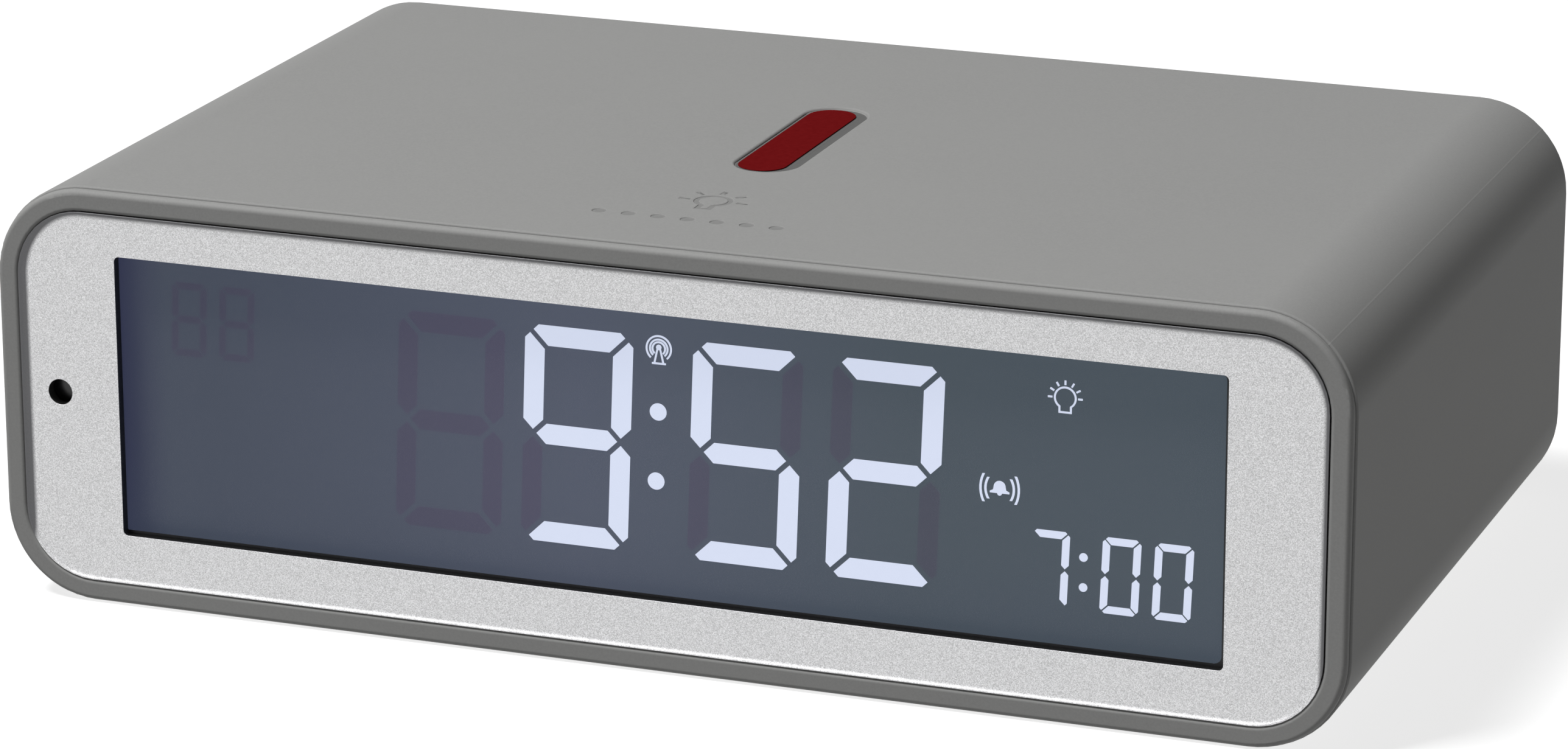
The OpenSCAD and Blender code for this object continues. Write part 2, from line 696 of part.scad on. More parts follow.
module display_holder() {
    color(white) difference() {
        union() {
            slice(y_web_back, y_holder - y_web_back + holder_t) translate([window_shift_x, glass_z])
                square([holder_w, holder_h], center = true);
            slice(y_holder, holder_t) for (sz = [-1, 1]) translate([0, mid_z + sz * lug_z]) {
                translate([-lug_x, -lug_r]) square([2 * lug_x, 2 * lug_r]);
                for (sx = [-1, 1]) translate([sx * lug_x, 0]) circle(lug_r);
            }
            at_studs(y_holder) rod_y_axis(lug_r, holder_t + board_gap);
        }
        slice(y_web_back - 1, y_holder - y_web_back + 1) translate([window_shift_x, glass_z])
            square([glass_w + 2 * pane_gap, glass_h + 2 * pane_gap], center = true);
        slice(y_holder - 1, holder_t + 2) translate([window_shift_x, strip_z])
            square([strip_w + 0.4, strip_t + 0.3], center = true);
        at_lugs(y_holder - 1) rod_y_axis(screw_r + hole_gap, holder_t + 2);
        at_studs(y_holder + 0.6) rod_y_axis(pilot_r, holder_t + board_gap);
        translate([guide_right, y_guide - 0.3, mid_z - led_slot_h / 2])
            cube([holder_wall + 1, led_d + 1.6, led_slot_h]);
    }
}

// Places children at the studs that carry the main board
module at_studs(y) {
    for (sx = [-1, 1], sz = [-1, 1])
        translate([window_shift_x + sx * stud_x, y, glass_z + sz * stud_z]) children();
}

module holder_screws() {
    color(steel) at_lugs(y_holder + holder_t) rotate([180, 0, 0])
        screw(pilot_r, holder_t + 3.5, lug_r - 0.3, 1.3);
}

module led_board() {
    color(board_green) translate([guide_right + pane_gap + holder_wall + led_seat, y_guide,
        mid_z - led_board_h / 2]) cube([led_board_t, guide_t, led_board_h]);
}

module backlight_leds() {
    color(white) for (i = [0 : led_count - 1])
        translate([guide_right + pane_gap + holder_wall + led_seat - led_h, y_guide + guide_t / 2 - led_d / 2,
            mid_z + (i - (led_count - 1) / 2) * led_pitch - led_w / 2]) cube([led_h, led_d, led_w]);
}

module contact_strip() {
    color([0.75, 0.45, 0.45]) slice(y_rear_glass, y_board - y_rear_glass)
        translate([window_shift_x, strip_z]) square([strip_w, strip_t], center = true);
}

// Main board and what it carries

module main_board() {
    color(board_green) difference() {
        slice(y_board, board_t) {
            translate([window_shift_x, glass_z]) round_rect(holder_w - 1, holder_h - 1, 1);
            translate([0, mid_z]) round_rect(2 * (lug_x + lug_r), 2 * (lug_z + 2), 1);
        }
        at_studs(y_board - 1) rod_y_axis(screw_r + hole_gap, board_t + 2);
        for (s = [-1, 1]) translate([-sensor_x + s * 1.27, y_board - 1, sensor_z])
            rod_y_axis(0.45, board_t + 2);
    }
}

module board_screws() {
    color(steel) at_studs(y_board_back) rotate([180, 0, 0]) screw(pilot_r, board_t + 2.4, 1.9, 1.2);
}

module controller_chip() {
    color(black) translate([6, y_board_back, mid_z]) rotate([-90, 0, 0]) {
        cylinder(r1 = 6.5, r2 = 5.2, h = 1);
        translate([0, 0, 1]) cylinder(r1 = 5.2, r2 = 3, h = 0.7);
    }
}

module clock_crystal() {
    color(steel) translate([18, y_board_back + 1.05, mid_z + 8]) {
        rotate([0, 90, 0]) cylinder(r = 1, h = 6);
        for (s = [-1, 1]) translate([-2, -0.2 - 0.85, s * 0.45 - 0.15]) cube([2.1, 0.9, 0.3]);
    }
}

module tilt_switch() {
    color(steel) translate([30, y_board_back, mid_z - 6]) {
        rod_y_axis(3, 0.8);
        translate([0, 0.8, 0]) rod_y_axis(2.5, 5.2);
    }
}

receiver_x = control_x + 2;
receiver_z = mid_z - 1;
receiver_w = 18;
receiver_h = 13;
pin_l = 2.4;
pin_pitch = 2.54;
module receiver_board() {
    w = receiver_w;
    h = receiver_h;
    color(board_green) translate([receiver_x, y_board_back, receiver_z]) {
        translate([-w / 2, pin_l, -h / 2]) cube([w, 1, h]);
        for (i = [-2 : 2]) translate([i * pin_pitch - 0.3, 0, h / 2 - 1.8]) cube([0.6, pin_l + 1.4, 0.6]);
        translate([-2.4, pin_l + 1, -3.4]) cube([4.8, 1.3, 4]);
        translate([4.2, pin_l + 2, -4]) cylinder(r = 1, h = 5);
    }
}

module light_sensor() {
    color([0.85, 0.88, 0.9]) translate([-sensor_x, y_web + 0.5, sensor_z]) {
        rod_y_axis(sensor_d / 2, sensor_l);
        for (s = [-1, 1]) translate([s * 1.27 - 0.22, sensor_l, -0.22])
            cube([0.44, y_board + board_t - y_web - 0.5 - sensor_l, 0.44]);
    }
}

foil_w = 80;
foil_d = 40;
foil_t = 0.15;
foil_y = 4;
spring_w = 4;
spring_foot = 9;
module touch_foils() {
    color(copper) for (z = [wall_t, body_h - wall_t - foil_t])
        translate([-foil_w / 2, foil_y - foil_d / 2, z]) cube([foil_w, foil_d, foil_t]);
}

// Bent leaf springs that lead from the main board to the foils
spring_x = [-20, 20];
module touch_springs() {
    tip = inner_h / 2 - foil_t - touch;
    y_foil = foil_y - foil_d / 2;
    t = 0.3;
    color(copper) for (s = [0, 1]) translate([spring_x[s], 0, mid_z]) mirror([0, 0, s])
        translate([spring_w / 2, 0, 0]) rotate([0, -90, 0]) linear_extrude(spring_w) polygon([
            [tip - 8, y_board_back], [tip - 4, y_board_back], [tip - 4, y_board_back + t],
            [tip - 5, y_board_back + t], [tip, y_foil + spring_foot - 4], [tip - 1.2, y_foil + spring_foot],
            [tip - 1.5, y_foil + spring_foot], [tip - t * 1.2, y_foil + spring_foot - 4],
            [tip - 5.6, y_board_back + t], [tip - 8, y_board_back + t]]);
}

// The ribbon cable and its two connectors
connector_w = 12;
connector_d = 4;
connector_h = 4;
ribbon_w = 10.2;
ribbon_t = 0.9;
ribbon_x = control_x - 14;
ribbon_z = control_z + 0.5;
ribbon_sag = 7;
module board_connectors() {
    color(white) translate([ribbon_x - connector_w / 2, 0, ribbon_z - connector_h / 2]) {
        translate([0, y_board_back, 0]) cube([connector_w, connector_d, connector_h]);
        translate([0, y_control - board_t - connector_d, 0]) cube([connector_w, connector_d, connector_h]);
    }
}

module ribbon_cable() {
    a = y_board_back + connector_d + lead_gap;
    b = y_control - board_t - connector_d - lead_gap;
    steps = 24;
    path = [for (i = [0 : steps]) [ribbon_x, a + (b - a) * i / steps,
        ribbon_z - ribbon_sag * (1 - cos(360 * i / steps)) / 2]];
    section = [[-ribbon_w / 2, -ribbon_t / 2], [ribbon_w / 2, -ribbon_t / 2],
        [ribbon_w / 2, ribbon_t / 2], [-ribbon_w / 2, ribbon_t / 2]];
    color([0.6, 0.6, 0.62]) sweep(path, section, [1, 0, 0]);
}

// Antenna, clipped to the battery bay

module ferrite_rod() {
    color([0.2, 0.2, 0.21]) translate([bay_x - rod_l / 2, rod_y, mid_z]) rotate([0, 90, 0])
        cylinder(r = rod_r, h = rod_l);
}

module antenna_coil() {
    color(copper) translate([bay_x - coil_l / 2, rod_y, mid_z]) rotate([0, 90, 0]) difference() {
        cylinder(r = coil_r, h = coil_l);
        translate([0, 0, -1]) cylinder(r = rod_r + 0.1, h = coil_l + 2);
    }
}

// Two wires from the coil to the receiver board
module antenna_leads() {
    a = [bay_x - coil_l / 2 + 1.5, rod_y - coil_r, mid_z];
    b = [receiver_x + receiver_w / 2 - 1.5, y_board_back + pin_l + 1 + wire_r, receiver_z];
    color(copper) for (s = [-1, 1]) {
        path = [for (i = [0 : 16]) let(u = i / 16, e = (1 - cos(180 * u)) / 2)
            [a[0] + (b[0] - a[0]) * e, a[1] - wire_r * 0.8 + (b[1] - a[1]) * u,
            a[2] + (b[2] - a[2]) * u + s * 1.4]];
        sweep(path, ngon(wire_r * 0.6, 8), [0, 0, 1]);
    }
}

// Rear cover

module rear_cover() {
    color(case_grey) difference() {
        union() {
            slice(y_cover_in, cover_t) translate([0, mid_z]) round_rect(cover_w, cover_h, cover_r);
            slice(y_bay - bay_wall, y_cover_in - y_bay + bay_wall) translate([bay_x, mid_z])
                round_rect(bay_w + 2 * bay_wall, bay_h + 2 * bay_wall, 1.5);
            for (s = [-1, 1]) translate([bay_x + s * (rod_l / 2 - 6) - cradle_t / 2, rod_y - 1.5,
                mid_z - rod_r - 2]) cube([cradle_t, y_bay - bay_wall - rod_y + 1.6, 2 * rod_r + 4]);
            for (x = [-1, 1]) translate([control_x + x * post_x, y_control, post_z])
                rod_y_axis(post_r, y_cover_in - y_control + 0.5);
            translate([buzzer_x, y_cover_in - 3, buzzer_z]) rod_y_axis(buzzer_r + buzzer_wall, 3.5);
            for (s = [-1, 1]) tab_pocket(s, 1.1);
        }
        translate([bay_x, 0, mid_z]) {
            translate([0, y_bay + bay_depth + 1, 0]) rotate([90, 0, 0]) linear_extrude(bay_depth + 1)
                round_rect(bay_w, bay_h, 0.8);
            translate([0, y_cover_out + 1, 0]) rotate([90, 0, 0]) linear_extrude(door_t + 0.05 + 1)
                door_outline(door_gap);
        }
        for (s = [-1, 1]) {
            tab_pocket(s, 0);
            translate([bay_x + s * tab_x - tab_w / 2 - 0.4, y_cover_in - 1, door_z0 - door_gap])
                cube([tab_w + 0.8, cover_t + 2, door_lap + door_gap + 0.1]);
        }
        translate([bay_x, y_cover_out, door_z0 + door_h]) rotate([90, 0, 0]) translate([0, 0, -1])
            cylinder(r = tongue_w / 2 - 0.6, h = 2);
        for (s = [-1, 1]) translate([bay_x + s * (rod_l / 2 - 6) - cradle_t, rod_y, mid_z])
            rotate([0, 90, 0]) cylinder(r = rod_r + 0.05, h = 2 * cradle_t);
        at_bosses(y_cover_in - 1) rod_y_axis(screw_r + hole_gap, cover_t + 2);
        at_bosses(y_cover_out - 1.4) rod_y_axis(head_r + hole_gap, 3);
        for (i = [0 : button_count - 1]) translate([button_x - i * button_pitch, y_cover_in - 1, button_z])
            button_outline(button_gap, cover_t + 2);
        for (x = [-1, 1]) translate([control_x + x * post_x, y_control - 1, post_z])
            rod_y_axis(pilot_r, 5);
        translate([buzzer_x, y_cover_in - 4, buzzer_z]) rod_y_axis(buzzer_r + 0.1, 4);
        translate([buzzer_x, y_cover_in - 1, buzzer_z]) {
            rod_y_axis(sound_r, cover_t + 2);
            for (a = [0 : 60 : 300]) rotate([0, a, 0]) translate([sound_ring, 0, 0])
                rod_y_axis(sound_r, cover_t + 2);
        }
        translate([inlet_x - inlet_w / 2 - 0.2, y_cover_in - 1, inlet_z - inlet_h / 2 - 0.2])
            cube([inlet_w + 0.4, cover_t + 2, inlet_h + 0.4]);
    }
}

// The pocket behind the cover that a tab of the battery door hooks into, grown by wall
module tab_pocket(side, wall) {
    depth = tab_drop + cover_t + 1.2;
    translate([bay_x + side * tab_x - tab_w / 2 - 0.4 - wall, y_cover_in - depth + 0.6 - wall,
        door_z0 - tab_drop - 0.5 - wall])
        cube([tab_w + 0.8 + 2 * wall, depth - 0.6 + (wall > 0 ? 1 + wall : 0) + 0.001,
            tab_drop + 0.5 + wall + (wall > 0 ? 0 : door_lap + bay_wall + 1)]);
}

// The battery door's outline, grown by gap: round at the top, square along the edge it turns on
module door_outline(gap) {
    w = door_w + 2 * gap;
    h = door_h + 2 * gap;
    round_rect(w, h, door_r + gap);
    translate([-w / 2, -h / 2]) square([w, h / 2]);
}

module button_outline(gap, l) {
    rotate([-90, 0, 0]) linear_extrude(l) rotate(90) pill(button_h + 2 * gap, button_w + 2 * gap);
}

module rear_screws() {
    color(steel) at_bosses(y_cover_out - 1.4) rotate([180, 0, 0])
        screw(pilot_r, cover_t - 1.4 + 7, head_r, 1.2);
}

// A push button with its flange and stem, number i in the row
module push_button(i, c) {
    color(c) translate([button_x - i * button_pitch, 0, button_z]) {
        translate([0, y_cover_in - touch, 0]) button_outline(0, cover_t + touch + button_proud);
        translate([0, y_cover_in - touch - flange_t, 0]) button_outline(flange_lap, flange_t);
        translate([0, y_cover_in - touch - flange_t - stem_l, 0]) rod_y_axis(stem_r, stem_l);
    }
}

// The plunger of the switch behind it
module plunger(i) {
    color(black) translate([button_x - i * button_pitch, y_control + switch_h - plunger_hole
        + button_travel + 0.2, button_z])
        rod_y_axis(plunger_r, control_front - switch_h + plunger_hole - button_travel - 0.2);
}

module button_time() { push_button(0, ring_grey); }
module button_alarm() { push_button(1, ring_grey); }
module button_up() { push_button(2, ring_grey); }
module button_down() { push_button(3, ring_grey); }
module button_radio() { push_button(4, ring_grey); }
module plunger_time() { plunger(0); }
module plunger_alarm() { plunger(1); }
module plunger_up() { plunger(2); }
module plunger_down() { plunger(3); }
module plunger_radio() { plunger(4); }

module control_board() {
    color(board_green) difference() {
        translate([0, y_control, 0]) rotate([90, 0, 0]) linear_extrude(board_t) {
            translate([control_x, control_z]) square([control_w, control_h], center = true);
            translate([control_x - control_w / 2, tail_z0])
                square([tail_w, control_z - tail_z0]);
        }
        for (x = [-1, 1]) translate([control_x + x * post_x, y_control - board_t - 1, post_z])
            rod_y_axis(screw_r + hole_gap, board_t + 2);
    }
}

screw_grip = 3.2;
module control_screws() {
    color(steel) for (x = [-1, 1]) translate([control_x + x * post_x, y_control - board_t, post_z])
        screw(pilot_r, board_t + screw_grip, post_r - 0.3, 1.2);
}

module switch_bodies() {
    color(steel) for (i = [0 : button_count - 1]) translate([button_x - i * button_pitch, y_control, button_z])
        difference() {
            translate([-switch_w / 2, 0, -switch_w / 2]) cube([switch_w, switch_h, switch_w]);
            translate([0, switch_h - plunger_hole, 0]) rod_y_axis(plunger_r + 0.1, plunger_hole + 1);
        }
}

module power_inlet() {
    l = y_cover_out - 0.4 - y_control;
    tongue_t = 0.7;
    color(steel) translate([inlet_x, y_control, inlet_z]) {
        difference() {
            rotate([-90, 0, 0]) linear_extrude(l) round_rect(inlet_w, inlet_h, inlet_h / 2 - 0.05);
            translate([0, 1.5, 0]) rotate([-90, 0, 0]) linear_extrude(l)
                round_rect(inlet_w - 0.6, inlet_h - 0.6, inlet_h / 2 - 0.4);
        }
        translate([-inlet_w / 2 + 1.3, 1, -tongue_t / 2]) cube([inlet_w - 2.6, l - 2, tongue_t]);
    }
}

module buzzer() {
    color(black) translate([buzzer_x, y_cover_in - touch - buzzer_h, buzzer_z]) difference() {
        rod_y_axis(buzzer_r, buzzer_h);
        translate([0, buzzer_h - 2, 0]) rod_y_axis(1.2, 3);
    }
}

// A smooth step from 0 to 1, level at both ends
function ease(u) = (1 - cos(180 * u)) / 2;
wire_r = 0.6;
lead_gap = 0.05;
module buzzer_leads() {
    a = [buzzer_x, y_cover_in - touch - buzzer_h - lead_gap, buzzer_z + buzzer_r / 2];
    b = [buzzer_x - 6, y_control - board_t - lead_gap, control_z - control_h / 2 + 3.5];
    color(red) for (s = [-1, 1]) {
        path = [for (i = [0 : 16]) let(u = i / 16) [a[0] + s * 2 + (b[0] - a[0]) * ease(u),
            a[1] + (b[1] - a[1]) * u - 5.2 * sin(180 * u), a[2] + (b[2] - a[2]) * ease(u)]];
        sweep(path, ngon(wire_r, 8), [1, 0, 0]);
    }
}

// Battery door: it turns on its rounded lower edge, and its two tabs swing behind the cover
module battery_door() {
    color(case_grey) difference() {
        union() {
            difference() {
                slice(y_cover_out - door_t, door_t) translate([bay_x, mid_z]) door_outline(0);
                translate([bay_x - door_w / 2 - 1, y_cover_out - door_t - 1, door_z0 - 1])
                    cube([door_w + 2, door_t + 2, hinge_r + 1]);
            }
            translate([bay_x - door_w / 2, y_cover_out - hinge_r, door_z0 + hinge_r])
                rotate([0, 90, 0]) cylinder(r = hinge_r, h = door_w);
            for (s = [-1, 1]) translate([bay_x + s * tab_x - tab_w / 2, 0, door_z0]) {
                translate([0, y_cover_in - 0.25 - tab_t, -tab_drop]) cube([tab_w, tab_t, tab_drop + tab_rise]);
                translate([0, y_cover_in - 0.25 - 0.01, 0.1])
                    cube([tab_w, y_cover_out - door_t - y_cover_in + 0.27, tab_rise - 0.1]);
            }
        }
        for (s = [-1, 1]) translate([bay_x + s * (tongue_w / 2 + slit_w / 2) - slit_w / 2,
            y_cover_out - door_t - 1, door_z0 + door_h - tongue_l]) cube([slit_w, door_t + 2, tongue_l + 1]);
        for (i = [0 : 2]) translate([bay_x - tongue_w / 2 + 1, y_cover_out - 0.35,
            door_z0 + door_h - 2.2 - 1.4 * i]) cube([tongue_w - 2, 1, 0.6]);
    }
}

// Cells: the upper one has its nub to the right, the lower one to the left
nub_l = 1.2;
nub_r = 1.9;
cell_x0 = bay_x - bay_w / 2 + plate_metal_t;
module cell() {
    rotate([0, 90, 0]) {
        cylinder(r = cell_d / 2, h = cell_l - nub_l);
        translate([0, 0, cell_l - nub_l]) cylinder(r = nub_r, h = nub_l);
    }
}
module battery_upper() {
    color([0.25, 0.35, 0.6]) translate([cell_x0 + bay_end_gap, y_cell,
        mid_z + (cell_d + cell_space) / 2]) cell();
}
module battery_lower() {
    color([0.25, 0.35, 0.6]) translate([cell_x0 + cell_l, y_cell,
        mid_z - (cell_d + cell_space) / 2]) mirror([1, 0, 0]) cell();
}

// Bridge plate on the left, two single plates on the right
module contact_plates() {
    h = cell_d - 1.5;
    color(steel) {
        translate([bay_x - bay_w / 2, y_cell - h / 2, mid_z - bay_h / 2 + 1])
            cube([plate_metal_t, h, bay_h - 2]);
        for (s = [-1, 1]) translate([bay_x + bay_w / 2 - plate_metal_t, y_cell - h / 2,
            mid_z + s * (cell_d + cell_space) / 2 - h / 2]) cube([plate_metal_t, h, h]);
    }
}

module battery_springs() {
    color(steel) {
        translate([cell_x0, y_cell, mid_z + (cell_d + cell_space) / 2]) coil_spring(bay_end_gap);
        translate([bay_x + bay_w / 2 - plate_metal_t, y_cell, mid_z - (cell_d + cell_space) / 2])
            mirror([1, 0, 0]) coil_spring(bay_end_gap);
    }
}

// A conical spring along +X, with one flat turn at its wide end
module coil_spring(l) {
    turns = 4;
    rings = 14;
    wire = 0.35;
    path = [for (i = [0 : turns * rings]) let(u = i / (turns * rings), r = 3.9 - 1.7 * u)
        [wire + (l - 2 * wire) * u, r * cos(360 * i / rings), r * sin(360 * i / rings)]];
    sweep(path, ngon(wire, 6), [1, 0, 0]);
}

// Two wires from the contact plates to the main board
module battery_leads() {
    a = [bay_x + bay_w / 2 + bay_wall + wire_r + 0.1, y_cell - 4, rod_r + 1.5];
    b = [a[0] - 8, y_board_back + lead_gap, 3];
    for (s = [-1, 1]) color(s > 0 ? red : black) {
        path = [for (i = [0 : 16]) let(u = i / 16) [a[0] + (b[0] - a[0]) * ease(u),
            a[1] + (b[1] - a[1]) * u, mid_z + s * (a[2] + (b[2] - a[2]) * ease(u))]];
        sweep(path, ngon(wire_r, 8), [0, 0, 1]);
    }
}

sleeve();
front_frame();
bezel_plate();
display_window();
front_screws();
red_inlay();
front_polariser();
front_glass();
rear_glass();
rear_polariser();
display_segments();
light_guide();
reflector_sheet();
led_board();
backlight_leds();
display_holder();
holder_screws();
contact_strip();
main_board();
board_screws();
controller_chip();
clock_crystal();
tilt_switch();
receiver_board();
light_sensor();
touch_foils();
touch_springs();
board_connectors();
ribbon_cable();
ferrite_rod();
antenna_coil();
antenna_leads();
rear_cover();
rear_screws();
control_board();
control_screws();
switch_bodies();
button_time();
button_alarm();
button_up();
button_down();
button_radio();
plunger_time();
plunger_alarm();
plunger_up();
plunger_down();
plunger_radio();
power_inlet();
buzzer();
buzzer_leads();
battery_door();
battery_upper();
battery_lower();
contact_plates();
battery_springs();
battery_leads();
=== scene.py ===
"""Looks of a radio-controlled alarm clock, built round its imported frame. Metres, Z up."""
import json
import math

import bpy
import bmesh
from mathutils import Matrix, Vector


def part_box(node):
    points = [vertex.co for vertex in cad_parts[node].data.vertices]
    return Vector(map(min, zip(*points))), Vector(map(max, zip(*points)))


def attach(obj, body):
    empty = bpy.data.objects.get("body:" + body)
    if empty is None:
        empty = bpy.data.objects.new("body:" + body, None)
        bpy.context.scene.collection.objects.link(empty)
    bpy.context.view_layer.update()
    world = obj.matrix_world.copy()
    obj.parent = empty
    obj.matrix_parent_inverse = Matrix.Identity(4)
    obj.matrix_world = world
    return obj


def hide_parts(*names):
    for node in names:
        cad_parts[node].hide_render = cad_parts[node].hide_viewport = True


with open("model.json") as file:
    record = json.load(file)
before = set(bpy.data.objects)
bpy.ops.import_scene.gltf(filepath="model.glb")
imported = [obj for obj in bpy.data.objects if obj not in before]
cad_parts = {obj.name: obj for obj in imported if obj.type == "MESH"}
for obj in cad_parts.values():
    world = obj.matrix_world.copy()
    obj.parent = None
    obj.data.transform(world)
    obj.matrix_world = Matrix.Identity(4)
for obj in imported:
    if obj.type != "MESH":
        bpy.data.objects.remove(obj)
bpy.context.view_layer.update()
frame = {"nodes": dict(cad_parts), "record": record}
NODES = frame["nodes"]
MM = 0.001

# Tolerances for reading the solids' meshes
WELD = 0.0005 * MM
NEAR = 0.02 * MM
FLAT_ANGLE = math.radians(0.3)
SHARP_ANGLE = math.radians(50)

# The plate, with its opening and the sensor's hole (x, z, radius)
PLATE_DISH = 0.22 * MM
PLATE_RIM = 0.55 * MM
PLATE_CORNER = 6.7 * MM
PLATE_SNUG = 0.12 * MM
WINDOW_X = (-53.7 * MM, 54.5 * MM)
WINDOW_Z = (7.05 * MM, 34.45 * MM)
WINDOW_CORNER = 0.5 * MM
SENSOR_HOLE = (-59.8 * MM, 20.6 * MM, 1.25 * MM)

# The top: the groove and the marks as the solids have them, and as they are shown
CASE_CORNER = 9.1 * MM
GROOVE_SIZE = (6.3 * MM, 24.8 * MM)
GROOVE_Y = 0.25 * MM
GROOVE_DEPTH = 0.8 * MM
FLOOR_SHOWN = 0.26 * MM
ISLAND_INSET = 0.5 * MM
LIP_RADIUS = 0.28 * MM
MARK_DEPTH = 0.25 * MM
MARK_SHOWN = 0.09 * MM
MARK_RADIUS = 0.1 * MM
MARKS_Y = GROOVE_Y - GROOVE_SIZE[1] / 2 - 1 * MM
MARKS_REACH = 12 * MM
STRIP_DEPTH = 0.18 * MM
STRIP_SIZE = (4.77 * MM, 23.6 * MM)
STRIP_CENTRE = (-0.52 * MM, 0.5 * MM)


# Helpers for materials

class Paint:
    """A node material: a Principled shader and short calls that add texture nodes to it."""

    def __init__(self, name):
        self.mat = bpy.data.materials.new(name)
        self.mat.use_nodes = True
        self.tree = self.mat.node_tree
        self.shader = self.tree.nodes["Principled BSDF"]
        self.where = self.tree.nodes.new("ShaderNodeTexCoord").outputs["Object"]

    def set(self, **values):
        """Uniform values, written on the shader's own sockets."""
        for key, value in values.items():
            self.shader.inputs[key.replace("_", " ")].default_value = value
        return self

    def node(self, kind, **settings):
        n = self.tree.nodes.new(kind)
        for key, value in settings.items():
            setattr(n, key, value)
        return n

    def link(self, a, b):
        self.tree.links.new(a, b)

    def noise(self, size, detail=2.0, rough=0.5, seed=0.0):
        """Noise whose features are about size metres across; gives 0 to 1."""
        n = self.node("ShaderNodeTexNoise", noise_dimensions="4D")
        n.inputs["Scale"].default_value = 1 / size
        n.inputs["Detail"].default_value = detail
        n.inputs["Roughness"].default_value = rough
        n.inputs["W"].default_value = seed
        self.link(self.where, n.inputs["Vector"])
        return n.outputs["Fac"]

    def cells(self, size):
        """Voronoi cells about size metres across; gives the random colour of each cell."""
        n = self.node("ShaderNodeTexVoronoi", feature="F1")
        n.inputs["Scale"].default_value = 1 / size
        self.link(self.where, n.inputs["Vector"])
        return n.outputs["Color"]

    def grey(self, colour):
        n = self.node("ShaderNodeSeparateColor")
        self.link(colour, n.inputs["Color"])
        return n.outputs["Red"]

    def ramp(self, value, low, high, to_low=0.0, to_high=1.0):
        """Maps low..high to to_low..to_high, held at both ends."""
        n = self.node("ShaderNodeMapRange", clamp=True)
        self.link(value, n.inputs["Value"])
        limits = {"From Min": low, "From Max": high, "To Min": to_low, "To Max": to_high}
        for key, number in limits.items():
            n.inputs[key].default_value = number
        return n.outputs["Result"]

    def math(self, how, a, b):
        n = self.node("ShaderNodeMath", operation=how)
        for socket, value in zip(n.inputs, (a, b)):
            if isinstance(value, (int, float)):
                socket.default_value = value
            else:
                self.link(value, socket)
        return n.outputs["Value"]

    def product(self, *values):
        """The product of several outputs or numbers, taken from the left."""
        total = values[0]
        for value in values[1:]:
            total = self.math("MULTIPLY", total, value)
        return total

    def square_sum(self, a, b):
        return self.math("ADD", self.product(a, a), self.product(b, b))

    def size(self, value):
        return self.math("ABSOLUTE", value, 0)

    def axis(self, letter):
        n = self.node("ShaderNodeSeparateXYZ")
        self.link(self.where, n.inputs["Vector"])
        return n.outputs[letter]

    def mix(self, factor, a, b):
        """A blend of two colours, each a colour or an output."""
        n = self.node("ShaderNodeMix", data_type="RGBA")
        self.link(factor, n.inputs["Factor"])
        for socket, value in ((n.inputs[6], a), (n.inputs[7], b)):
            if isinstance(value, (tuple, list)):
                socket.default_value = (*value[:3], 1)
            else:
                self.link(value, socket)
        return n.outputs[2]

    def colour(self, output):
        self.link(output, self.shader.inputs["Base Color"])
        return self

    def rough(self, output):
        self.link(output, self.shader.inputs["Roughness"])
        return self

    def bump(self, height, depth, strength=1.0):
        """Relief of depth metres where height goes from 0 to 1."""
        n = self.node("ShaderNodeBump")
        n.inputs["Strength"].default_value = strength
        n.inputs["Distance"].default_value = depth
        self.link(height, n.inputs["Height"])
        self.link(n.outputs["Normal"], self.shader.inputs["Normal"])
        return self


def tone(colour, factor):
    return tuple(min(1.0, c * factor) for c in colour)


# Materials

def parting_line(p):
    """1 on a hairline at 45 degrees on each long corner of the case, where the mould parts."""
    low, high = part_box("sleeve")
    middle = (low.z + high.z) / 2
    from_side = p.math("SUBTRACT", high.x - CASE_CORNER, p.size(p.axis("X")))
    height = p.size(p.math("SUBTRACT", p.axis("Z"), middle))
    from_top = p.math("SUBTRACT", high.z - CASE_CORNER - middle, height)
    off_line = p.size(p.math("SUBTRACT", from_side, from_top))
    in_corner = p.math("LESS_THAN", from_side, 0)
    return p.product(p.ramp(off_line, 0.03 * MM, 0.16 * MM, 1, 0), in_corner)


def pill_depth(p, width, length):
    """How far inside a pill-shaped outline on the top face a point is, in metres."""
    along = p.size(p.math("SUBTRACT", p.axis("Y"), GROOVE_Y))
    past = p.math("MAXIMUM", p.math("SUBTRACT", along, (length - width) / 2), 0)
    square = p.square_sum(past, p.axis("X"))
    return p.math("SUBTRACT", width / 2, p.math("SQRT", square, 0))


def mark_floor_shade(p, top, near_top):
    """1 on the floors of the marks engraved in front of the groove, where the lacquer gets painted
    shade.
    """
    front_edge = -37 * MM
    sunk = p.ramp(p.axis("Z"), top - 0.06 * MM, top - 0.01 * MM, 1, 0)
    in_front = p.math("LESS_THAN", p.axis("Y"), MARKS_Y)
    on_flat = p.product(in_front, p.math("GREATER_THAN", p.axis("Y"), front_edge))
    near_middle = p.math("LESS_THAN", p.size(p.axis("X")), MARKS_REACH)
    return p.product(p.product(sunk, near_top), p.product(on_flat, near_middle))


